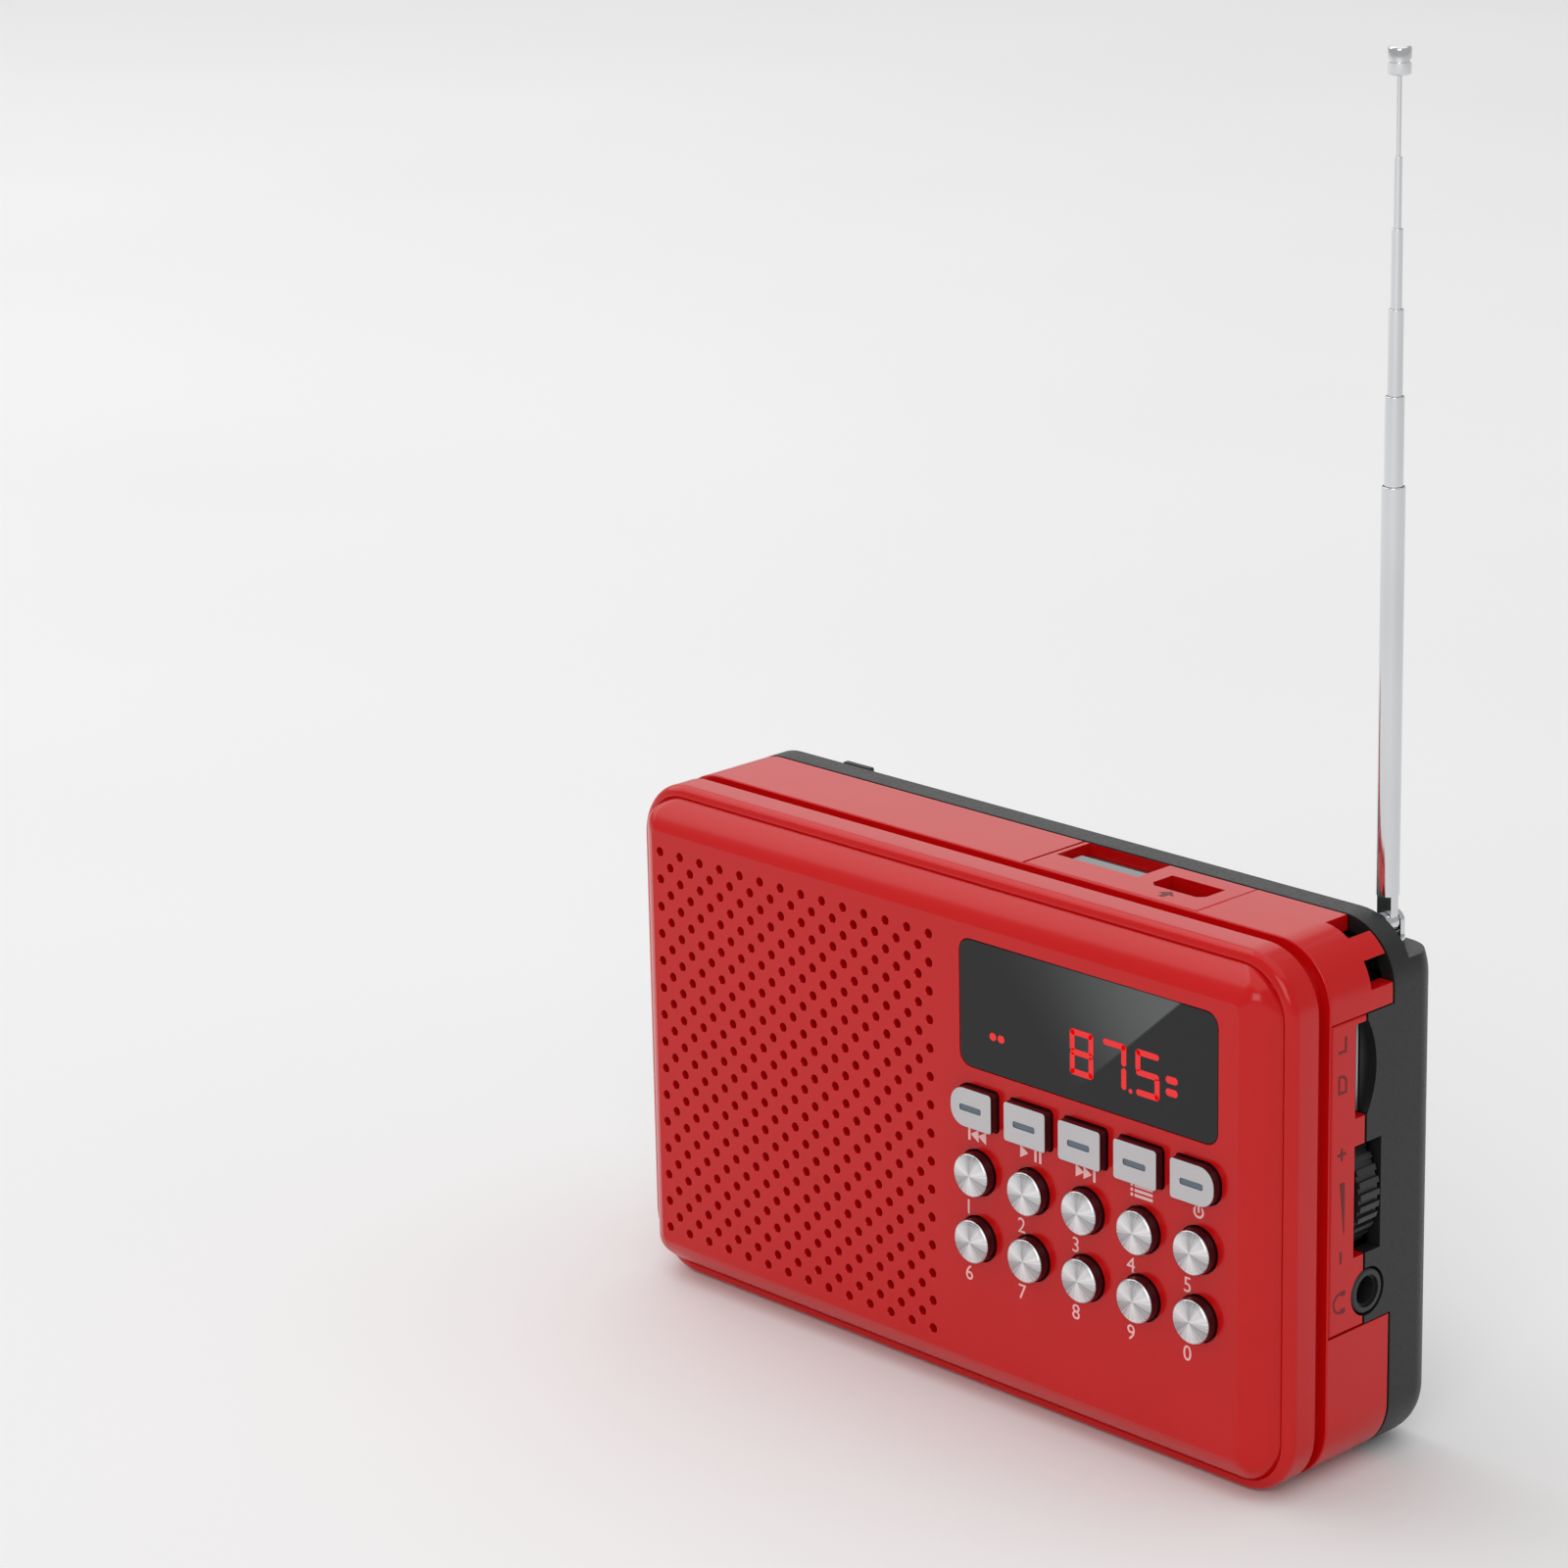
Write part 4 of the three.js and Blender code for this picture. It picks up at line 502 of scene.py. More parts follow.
# Shrink film round the battery: smooth blue-grey with slight wrinkles.
SHRINK_FILM = Finish(
    "shrink film", Texture.MOULDED, "929aa1", "7f878e", (0.3, 0.45), 4.0, 0.06, ior=1.5
)
# Matt studio paper.
STUDIO_PAPER = Finish(
    "studio paper", Texture.MOULDED, "eeeeee", "e8e8e8", (0.8, 0.9), 2.0, 0.01, cloud=200.0
)

SLOT_FINISHES = {
    "red_plastic": RED_ABS,
    "black_plastic": BLACK_ABS,
    "window_plastic": WINDOW_ACRYLIC,
    "grey_key_plastic": KEY_GREY,
    "spun_metal": SPUN_ALUMINIUM,
    "chrome": CHROME,
    "plated_steel": PLATED_STEEL,
    "contact_brass": CONTACT_BRASS,
    "circuit_board": SOLDER_MASK,
    "dark_plastic": DARK_NYLON,
    "silicone": SILICONE,
    "pressed_paper": PAPER_PULP,
    "magnet_coat": ZINC_COAT,
    "battery_wrap": SHRINK_FILM,
}


# ------------------------------------------------------------------ bench: shaping tools


# How nearly an edge runs along an axis, and a face looks along one, to count as doing so.
STRAIGHT, FLAT, FACING = 0.999, 0.99, 0.9
# Two places closer than this, in metres, are the same.
TOUCH = 1e-5


class Axis(Enum):
    """A direction that a round piece or an edge runs in."""

    X = 0
    Y = 1
    Z = 2


TURNS = {Axis.X: (0.0, math.pi / 2, 0.0), Axis.Y: (math.pi / 2, 0.0, 0.0), Axis.Z: (0.0, 0.0, 0.0)}


def take_up(piece: bpy.types.Object) -> None:
    """Select one piece alone and make it active.

    Args:
        piece: The piece to work on.
    """
    bpy.ops.object.select_all(action="DESELECT")
    piece.select_set(True)
    bpy.context.view_layer.objects.active = piece


def settle(name: str) -> bpy.types.Object:
    """Name the new primitive and put its place and size into its mesh.

    Args:
        name: The piece's name.

    Returns:
        The piece.
    """
    piece = bpy.context.active_object
    piece.name = name
    piece.data.name = name
    bpy.ops.object.transform_apply(location=True, rotation=True, scale=True)
    return piece


def block(name: str, x: Span, y: Span, z: Span) -> bpy.types.Object:
    """Add a block between two places on each axis.

    Args:
        name: The piece's name.
        x: From and to across.
        y: From and to in depth.
        z: From and to in height.

    Returns:
        The block.
    """
    bpy.ops.object.select_all(action="DESELECT")
    middle = place((x[0] + x[1]) / 2, (y[0] + y[1]) / 2, (z[0] + z[1]) / 2)
    size = Vector((x[1] - x[0], y[1] - y[0], z[1] - z[0])) * MM
    bpy.ops.mesh.primitive_cube_add(size=1.0, location=middle, scale=size)
    return settle(name)


def rod(
    name: str, centre: tuple[float, float], radius: float, run: Span, axis: Axis, sides: int = 32
) -> bpy.types.Object:
    """Add a round bar.

    Args:
        name: The piece's name.
        centre: The bar's place on the two other axes, in X, Y, Z order.
        radius: Its radius.
        run: From and to along its axis.
        axis: The axis it runs along.
        sides: How many sides it is drawn with.

    Returns:
        The bar.
    """
    spot = list(centre)
    spot.insert(axis.value, (run[0] + run[1]) / 2)
    bpy.ops.object.select_all(action="DESELECT")
    bpy.ops.mesh.primitive_cylinder_add(
        vertices=sides,
        radius=radius * MM,
        depth=(run[1] - run[0]) * MM,
        location=place(*spot),
        rotation=TURNS[axis],
    )
    return settle(name)


def pick(piece: bpy.types.Object, faces: bool, rule: Callable[[Vector, Vector], bool]) -> None:
    """Open a piece in edit mode with some of its faces or edges selected.

    Args:
        piece: The piece.
        faces: True for faces, False for edges.
        rule: Told a face's middle and normal, or an edge's middle and direction.
    """
    take_up(piece)
    bpy.ops.object.mode_set(mode="EDIT")
    bpy.ops.mesh.select_mode(type="FACE" if faces else "EDGE")
    bpy.ops.mesh.select_all(action="DESELECT")
    bpy.ops.object.mode_set(mode="OBJECT")
    mesh = piece.data
    if faces:
        for face in mesh.polygons:
            face.select = rule(face.center, face.normal)
    else:
        for edge in mesh.edges:
            start, end = (mesh.vertices[index].co for index in edge.vertices)
            edge.select = rule((start + end) / 2, (end - start).normalized())
    bpy.ops.object.mode_set(mode="EDIT")


def round_edges(
    piece: bpy.types.Object,
    axis: Axis,
    radius: float,
    segments: int,
    where: Callable[[Vector], bool] = lambda middle: True,
) -> bpy.types.Object:
    """Round the edges that run along an axis.

    Args:
        piece: The piece.
        axis: The axis that the edges run along.
        radius: The rounding in millimetres.
        segments: How finely it is drawn.
        where: Told an edge's middle in metres, says whether it is rounded.

    Returns:
        The piece.
    """
    pick(piece, False, lambda middle, run: abs(run[axis.value]) > STRAIGHT and where(middle))
    bpy.ops.mesh.bevel(offset=radius * MM, offset_type="OFFSET", segments=segments, affect="EDGES")
    bpy.ops.object.mode_set(mode="OBJECT")
    return piece


def quarter(width: float, rise: float, steps: int) -> list[tuple[float, float]]:
    """Steps of a quarter round that starts upright and ends flat.

    Args:
        width: How far it comes in.
        rise: How far it goes up.
        steps: How many steps.

    Returns:
        The way in and the way up of each step.
    """
    angles = [math.pi / 2 * index / steps for index in range(steps + 1)]
    inward = [width * (1 - math.cos(angle)) for angle in angles]
    upward = [rise * math.sin(angle) for angle in angles]
    return [
        (inward[index + 1] - inward[index], upward[index + 1] - upward[index])
        for index in range(steps)
    ]


def crown(
    piece: bpy.types.Object, facing: tuple[int, int, int], steps: Iterable[tuple[float, float]]
) -> bpy.types.Object:
    """Build a rounded front on a piece by insetting its outermost flat face again and again.

    Args:
        piece: The piece.
        facing: The way the face looks.
        steps: The way in and the way up of each step, in millimetres.

    Returns:
        The piece.
    """
    way = Vector(facing)
    reach = max(vertex.co.dot(way) for vertex in piece.data.vertices)
    pick(
        piece,
        True,
        lambda middle, normal: normal.dot(way) > FLAT and middle.dot(way) > reach - TOUCH,
    )
    for inward, upward in steps:
        bpy.ops.mesh.inset(thickness=inward * MM, depth=upward * MM)
    bpy.ops.object.mode_set(mode="OBJECT")
    return piece


def loft(name: str, rings: Iterable[Triple], segments: int) -> bpy.types.Object:
    """Skin a row of rounded rectangles that stand one behind the other.

    Args:
        name: The piece's name.
        rings: How far each ring lies inside the casing's outline, its depth and corner radius.
        segments: How finely the corners are drawn.

    Returns:
        The closed piece.
    """
    outlines = []
    for inset, depth, radius in rings:
        bpy.ops.object.select_all(action="DESELECT")
        bpy.ops.mesh.primitive_plane_add(
            size=1.0,
            location=place(SHELL.width / 2, depth, SHELL.height / 2),
            rotation=TURNS[Axis.Y],
        )
        wide, tall = (SHELL.width - 2 * inset) * MM, (SHELL.height - 2 * inset) * MM
        bpy.context.active_object.scale = (wide, tall, 1.0)
        outline = settle(name)
        bpy.ops.object.mode_set(mode="EDIT")
        bpy.ops.mesh.select_all(action="SELECT")
        bpy.ops.mesh.bevel(offset=radius * MM, segments=segments, affect="VERTICES")
        if outlines:
            bpy.ops.mesh.select_all(action="SELECT")
            bpy.ops.mesh.delete(type="ONLY_FACE")
        bpy.ops.object.mode_set(mode="OBJECT")
        outlines.append(outline)
    piece = outlines[0]
    for outline in outlines[1:]:
        join(name, piece, outline)
        bpy.ops.object.mode_set(mode="EDIT")
        bpy.ops.mesh.select_mode(type="EDGE")
        bpy.ops.mesh.select_all(action="DESELECT")
        bpy.ops.mesh.select_non_manifold(extend=False)
        bpy.ops.mesh.bridge_edge_loops()
        bpy.ops.object.mode_set(mode="OBJECT")
    bpy.ops.object.mode_set(mode="EDIT")
    bpy.ops.mesh.select_all(action="SELECT")
    bpy.ops.mesh.fill_holes(sides=0)
    bpy.ops.mesh.select_all(action="SELECT")
    bpy.ops.mesh.normals_make_consistent(inside=False)
    bpy.ops.object.mode_set(mode="OBJECT")
    return piece


def discard(piece: bpy.types.Object) -> None:
    """Delete a used-up piece and its mesh.

    Args:
        piece: The piece.
    """
    mesh = piece.data
    bpy.data.objects.remove(piece)
    bpy.data.meshes.remove(mesh)


def combine(piece: bpy.types.Object, kind: str, *tools: bpy.types.Object) -> bpy.types.Object:
    """Join, cut or trim a piece with others, which are used up.

    Args:
        piece: The piece.
        kind: UNION, DIFFERENCE or INTERSECT.
        tools: The other pieces.

    Returns:
        The piece.
    """
    for tool in tools:
        take_up(piece)
        step = piece.modifiers.new("combine", "BOOLEAN")
        step.operation = kind
        step.solver = "EXACT"
        step.object = tool
        bpy.ops.object.modifier_apply(modifier=step.name)
        discard(tool)
    return piece


def cut(piece: bpy.types.Object, *tools: bpy.types.Object) -> bpy.types.Object:
    """Cut tools out of a piece.

    Args:
        piece: The piece.
        tools: What is cut out of it, used up.

    Returns:
        The piece.
    """
    return combine(piece, "DIFFERENCE", *tools)


def add(piece: bpy.types.Object, *tools: bpy.types.Object) -> bpy.types.Object:
    """Merge other solids into a piece.

    Args:
        piece: The piece.
        tools: What is merged into it, used up.

    Returns:
        The piece.
    """
    return combine(piece, "UNION", *tools)


def join(name: str, *pieces: bpy.types.Object) -> bpy.types.Object:
    """Put separate shapes into one piece without merging them.

    Args:
        name: The piece's name.
        pieces: The shapes, which are used up.

    Returns:
        The piece.
    """
    take_up(pieces[0])
    for piece in pieces[1:]:
        piece.select_set(True)
    bpy.ops.object.join()
    pieces[0].name = name
    pieces[0].data.name = name
    return pieces[0]


def taper(
    piece: bpy.types.Object, facing: tuple[int, int, int], scale: Triple, about: Vector
) -> bpy.types.Object:
    """Narrow one end face of a block.

    Args:
        piece: The block.
        facing: The way the end face looks.
        scale: The end face's new size as a share of the old, on each axis.
        about: The place that stays put.

    Returns:
        The block.
    """
    way = Vector(facing)
    pick(piece, True, lambda middle, normal: normal.dot(way) > FACING)
    bpy.ops.transform.resize(value=scale, center_override=about)
    bpy.ops.object.mode_set(mode="OBJECT")
    return piece


def array(piece: bpy.types.Object, count: int, step_mm: Triple) -> bpy.types.Object:
    """Repeat a piece along a line, as one mesh.

    Args:
        piece: The piece.
        count: How many there are in the end.
        step_mm: The way from one to the next, in millimetres.

    Returns:
        The piece.
    """
    take_up(piece)
    step = piece.modifiers.new("row", "ARRAY")
    step.count = count
    step.use_relative_offset = False
    step.use_constant_offset = True
    step.constant_offset_displace = Vector(step_mm) * MM
    bpy.ops.object.modifier_apply(modifier=step.name)
    return piece


def copy_of(piece: bpy.types.Object, name: str, shift_mm: Triple) -> bpy.types.Object:
    """Copy a piece with its own mesh, moved inside that mesh.

    Args:
        piece: The piece.
        name: The copy's name.
        shift_mm: How far the copy lies from the piece, in millimetres.

    Returns:
        The copy.
    """
    take_up(piece)
    bpy.ops.object.duplicate(linked=False)
    bpy.context.active_object.location = Vector(shift_mm) * MM
    return settle(name)


def slab(
    name: str, x: Span, y: Span, z: Span, radius: float, segments: int = 6
) -> bpy.types.Object:
    """Add a plate in the face's plane with rounded corners.

    Args:
        name: The piece's name.
        x: From and to across.
        y: From and to in depth.
        z: From and to in height.
        radius: The corners' radius.
        segments: How finely they are drawn.

    Returns:
        The plate.
    """
    return round_edges(block(name, x, y, z), Axis.Y, radius, segments)


@dataclass(frozen=True)
class Fitting:
    """Where a finished piece belongs.

    Attributes:
        body: The moving body that it rides on.
        slot: The record's material slot. Not used.
        finish: Its finish.
        stands_for: The CAD nodes that it takes the place of.
    """

    body: str
    slot: str
    finish: Finish
    stands_for: tuple[str, ...] = ()


def fit(piece: bpy.types.Object, fitting: Fitting, angle: float = 32.0) -> bpy.types.Object:
    """Smooth, dress and mount a finished piece.

    Args:
        piece: The piece.
        fitting: Where it belongs.
        angle: Edges sharper than this many degrees stay crisp.

    Returns:
        The piece.
    """
    take_up(piece)
    bpy.ops.object.shade_smooth_by_angle(angle=math.radians(angle))
    even = piece.modifiers.new("even", "WEIGHTED_NORMAL")
    even.keep_sharp = True
    bpy.ops.object.modifier_apply(modifier=even.name)
    piece.data.materials.clear()
    piece.data.materials.append(fitting.finish.material())
    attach(piece, fitting.body)
    if fitting.stands_for:
        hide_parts(*fitting.stands_for)
    LOG.info("%s: %d faces on %s", piece.name, len(piece.data.polygons), fitting.body)
    return piece


# A key's face belongs to its sides, which get the painted shade, when it looks less than this far
# forwards.
SIDEWAYS = 0.35


def two_tone(piece: bpy.types.Object, finish: Finish) -> bpy.types.Object:
    """Paint shade on the sides of a key with a darker finish.

    Args:
        piece: The key.
        finish: The painted shade for the sides.

    Returns:
        The key.
    """
    piece.data.materials.append(finish.material())
    for face in piece.data.polygons:
        if abs(face.normal.y) < SIDEWAYS:
            face.material_index = 1
    return piece


# ------------------------------------------------------------------ shared sizes


@dataclass(frozen=True)
class Shell:
    """Overall sizes of the casing and the places where its shells meet."""

    width: float = 114.0
    height: float = 70.0
    depth: float = 31.4
    corner: float = 8.0
    wall: float = 2.0
    gap: float = 0.2
    bezel_rear: float = 8.1
    groove_rear: float = 10.2
    groove_depth: float = 1.5
    frame_rear: float = 22.1
    cover_front: float = 22.3
    step_front: float = 17.3
    panel_low: float = 20.0
    panel_high: float = 60.2
    least_corner: float = 0.6

    def plate(self, name: str, inset: float, y: Span, segments: int = 14) -> bpy.types.Object:
        """Add a plate with the casing's outline, moved inwards.

        Args:
            name: The piece's name.
            inset: How far inside the outline.
            y: From and to in depth.
            segments: How finely the corners are drawn.

        Returns:
            The plate.
        """
        return slab(
            name,
            (inset, self.width - inset),
            y,
            (inset, self.height - inset),
            max(self.corner - inset, self.least_corner),
            segments,
        )

    def ring(self, name: str, outer: float, inner: float, y: Span) -> bpy.types.Object:
        """Add a ring that follows the casing's outline.

        Args:
            name: The piece's name.
            outer: How far the outside lies inside the outline.
            inner: How far the inside lies inside the outline.
            y: From and to in depth.

        Returns:
            The ring.
        """
        room = self.plate(f"{name}_room", inner, (y[0] - PAST, y[1] + PAST))
        return cut(self.plate(name, outer, y), room)


SHELL = Shell()


@dataclass(frozen=True)
class KeyLayout:
    """Where the keys stand."""

    middle: float = 83.8
    pitch: float = 9.2
    count: int = 5
    clearance: float = 0.25
    function_proud: float = 1.4
    function_up: float = 40.5
    function_width: float = 7.0
    function_height: float = 5.2
    function_corner: float = 0.45
    function_end: float = 2.3
    number_proud: float = 1.8
    number_up: tuple[float, float] = (31.6, 22.6)
    number_radius: float = 2.9
    flange: float = 0.6
    flange_front: float = 2.3
    flange_rear: float = 3.1
    stem_rear: float = 5.1
    stem_radius: float = 1.5
    stem_sink: float = 0.2

    def across(self) -> list[float]:
        """Give the columns' places.

        Returns:
            Each column's place across, left to right.
        """
        first = self.middle - (self.count - 1) * self.pitch / 2
        return [first + column * self.pitch for column in range(self.count)]

    def function_blank(self, name: str, column: int, grow: float, y: Span) -> bpy.types.Object:
        """Add a function key's outline as a plate.

        Args:
            name: The piece's name.
            column: Its column, from nought.
            grow: How much larger than the key it is all round.
            y: From and to in depth.

        Returns:
            The plate.
        """
        across = self.across()[column]
        half = self.function_width / 2 + grow
        tall = self.function_height / 2 + grow
        piece = block(
            name,
            (across - half, across + half),
            y,
            (self.function_up - tall, self.function_up + tall),
        )
        middle = place(across, 0, 0).x
        end = {0: -1, self.count - 1: 1}.get(column, 0)
        for side in (-1, 1):
            radius = self.function_end if side == end else self.function_corner
            segments = 12 if side == end else 4
            round_edges(
                piece,
                Axis.Y,
                radius + grow,
                segments,
                lambda spot, side=side: (spot.x - middle) * side > half * MM / 2,
            )
        return piece


KEYS = KeyLayout()


@dataclass(frozen=True)
class WindowPlace:
    """Where the display window lies in the face."""

    x: Span = (62.45, 105.15)
    z: Span = (45.6, 62.5)
    corner: float = 1.8
    thickness: float = 1.2
    ledge: float = 1.6
    clearance: float = 0.1
    least_corner: float = 0.4

    def plate(self, name: str, grow: float, y: Span) -> bpy.types.Object:
        """Add the window's outline as a plate.

        Args:
            name: The piece's name.
            grow: How much larger than the window it is all round.
            y: From and to in depth.

        Returns:
            The plate.
        """
        return slab(
            name,
            (self.x[0] - grow, self.x[1] + grow),
            y,
            (self.z[0] - grow, self.z[1] + grow),
            max(self.corner + grow, self.least_corner),
            5,
        )


WINDOW = WindowPlace()


@dataclass(frozen=True)
class PortPlaces:
    """Where the ports and the volume wheel come through the top and the side."""

    usb_x: Span = (64.9, 78.1)
    usb_y: Span = (15.9, 21.6)
    charge_x: Span = (81.4, 89.6)
    charge_y: Span = (14.8, 18.8)
    charge_taper: float = 0.9
    card_y: Span = (15.0, 17.3)
    card_z: Span = (47.3, 59.4)
    wheel_y: Span = (15.0, 20.1)
    wheel_z: Span = (29.25, 43.75)
    wheel_across: float = 105.5
    wheel_up: float = 36.5
    jack: tuple[float, float] = (17.8, 24.1)
    jack_radius: float = 2.9
    clearance: float = 0.25
    wheel_room: float = 9.3
    side_reach: float = 8.0
    top_reach: float = 10.0

    def top_tool(self, name: str, x: Span, y: Span) -> bpy.types.Object:
        """Make the tool for an opening in the top.

        Args:
            name: The tool's name.
            x: The socket's place across.
            y: The socket's place in depth.

        Returns:
            The tool.
        """
        grow = self.clearance
        return block(
            name,
            (x[0] - grow, x[1] + grow),
            (y[0] - grow, y[1] + grow),
            (SHELL.height - self.top_reach, SHELL.height + PAST),
        )

    def side_tools(self) -> list[bpy.types.Object]:
        """Make the tools that open the right side for the card, the wheel and the jack.

        Returns:
            The tools.
        """
        x = (SHELL.width - self.side_reach, SHELL.width + PAST)
        hub = (self.wheel_across, self.wheel_up)
        return [
            block("card_tool", x, self.card_y, self.card_z),
            block("wheel_tool", x, self.wheel_y, self.wheel_z),
            rod("room_tool", hub, self.wheel_room, self.wheel_y, Axis.Y, 48),
            rod("jack_tool", self.jack, self.jack_radius + self.clearance, x, Axis.X, 48),
        ]


PORTS = PortPlaces()


# ------------------------------------------------------------------ front


# Keeps the first ring of the rounded rim clear of the flat before it.
RIM_STEP = 0.01


@dataclass
class FrontBezel:
    """Red bezel: raised face with a grille, convex shoulders, a rounded rim and a side wall.

    The face's edge and the crease at the shoulder's foot are each a few steps: how far in from
    the shoulder or the rim, and how deep.
    """

    rim_depth: float = 3.4
    rim_width: float = 1.7
    rim_round: float = 1.3
    rim_steps: int = 8
    rear_edge: float = 0.15
    face_edge: tuple[Span, ...] = ((0.2, 0.0), (0.09, 0.01))
    crease: tuple[Span, ...] = ((-0.1, 0.2), (-0.2, 0.06), (-0.34, 0.0))
    shoulder: float = 3.8
    shoulder_front: float = 0.04
    slopes: tuple[float, float] = (22.0, 62.0)
    shoulder_steps: int = 12
    face_corner: float = 1.0
    mitre: float = 2.4
    face: float = 2.0
    face_margin: float = 0.5
    side_front: float = 5.4
    hole_radius: float = 0.64
    hole_flare: float = 0.06
    hole_step: float = 1.92
    first_hole: tuple[float, float] = (7.1, 7.8)
    holes: tuple[int, int] = (27, 29)

    def build(self) -> bpy.types.Object:
        """Make the bezel.

        Returns:
            The finished bezel.
        """
        body = loft("bezel", self._rings(), 14)
        inner = self.rim_width + self.shoulder - self.face_margin
        rear, play = SHELL.bezel_rear + PAST, WINDOW.clearance
        cut(
            body,
            SHELL.plate("face_room", inner, (self.face, rear)),
            SHELL.plate("side_room", SHELL.wall, (self.side_front, rear)),
            WINDOW.plate("window_seat", play, (-PAST, WINDOW.thickness + play)),
            WINDOW.plate("window_hole", -WINDOW.ledge, (-PAST, self.face + PAST)),
        )
        self._cut_keys(body)
        cut(body, self._grille())
        return fit(body, Fitting("casing", "red_plastic", RED_ABS, ("front_bezel",)))

    def _rings(self) -> list[tuple[float, float, float]]:
        """Give the bezel's profile from the face, over the shoulder and rim, to its rear edge.

        Returns:
            Each ring's inset, depth and corner radius.
        """
        inner = self.rim_width + self.shoulder
        low, high = (math.radians(slope) for slope in self.slopes)
        reach = self.shoulder / (math.sin(high) - math.sin(low))
        rings = [(inner + wide, deep, self.face_corner) for wide, deep in self.face_edge]
        outer = SHELL.corner - self.rim_width
        for step in range(self.shoulder_steps + 1):
            slope = low + (high - low) * step / self.shoulder_steps
            inset = inner - reach * (math.sin(slope) - math.sin(low))
            depth = self.shoulder_front + reach * (math.cos(low) - math.cos(slope))
            share = (inner - inset) / self.shoulder
            radius = self.face_corner + (outer - self.face_corner) * share**self.mitre
            rings.append((inset, depth, radius))
        bead = [(self.rim_width + wide, self.rim_depth + deep) for wide, deep in self.crease]
        for step in range(self.rim_steps):
            turn = math.pi / 2 * step / (self.rim_steps - 1)
            drop = self.rim_round * (1 - math.cos(turn))
            bead.append((self.rim_round * (1 - math.sin(turn)), self.rim_depth + RIM_STEP + drop))
        rear, edge = SHELL.bezel_rear, self.rear_edge
        bead += [(0.0, rear - edge), (edge / 3, rear - edge / 3), (edge, rear)]
        return rings + [(inset, depth, SHELL.corner - inset) for inset, depth in bead]

    def _cut_keys(self, body: bpy.types.Object) -> None:
        """Cut a clearance hole for each key.

        Args:
            body: The bezel.
        """
        deep = (-PAST, self.face + PAST)
        for column, across in enumerate(KEYS.across()):
            cut(body, KEYS.function_blank("key_tool", column, KEYS.clearance, deep))
            radius = KEYS.number_radius + KEYS.clearance
            for up in KEYS.number_up:
                cut(body, rod("key_tool", (across, up), radius, deep, Axis.Y, 32))

    def _grille(self) -> bpy.types.Object:
        """Make the tool that cuts the staggered grille holes, each with a softened mouth.

        Returns:
            The tool.
        """
        x, z = self.first_hole
        run = (self.hole_flare, self.face + PAST)
        peg = rod("hole_tool", (x, z), self.hole_radius, run, Axis.Y, 12)
        pick(peg, True, lambda middle, normal: normal.y < -FACING)
        flare = 2 * self.hole_flare
        bpy.ops.mesh.extrude_region_move(TRANSFORM_OT_translate={"value": (0, -flare * MM, 0)})
        wide = (self.hole_radius + flare) / self.hole_radius
        bpy.ops.transform.resize(value=(wide, 1, wide), center_override=place(x, 0, z))
        bpy.ops.object.mode_set(mode="OBJECT")
        columns, rows = self.holes
        step = self.hole_step
        other = copy_of(peg, "other_tool", (step, 0, step))
        array(peg, (rows + 1) // 2, (0, 0, 2 * step))
        array(peg, (columns + 1) // 2, (2 * step, 0, 0))
        array(other, rows // 2, (0, 0, 2 * step))
        array(other, columns // 2, (2 * step, 0, 0))
        return join("grille_tool", peg, other)


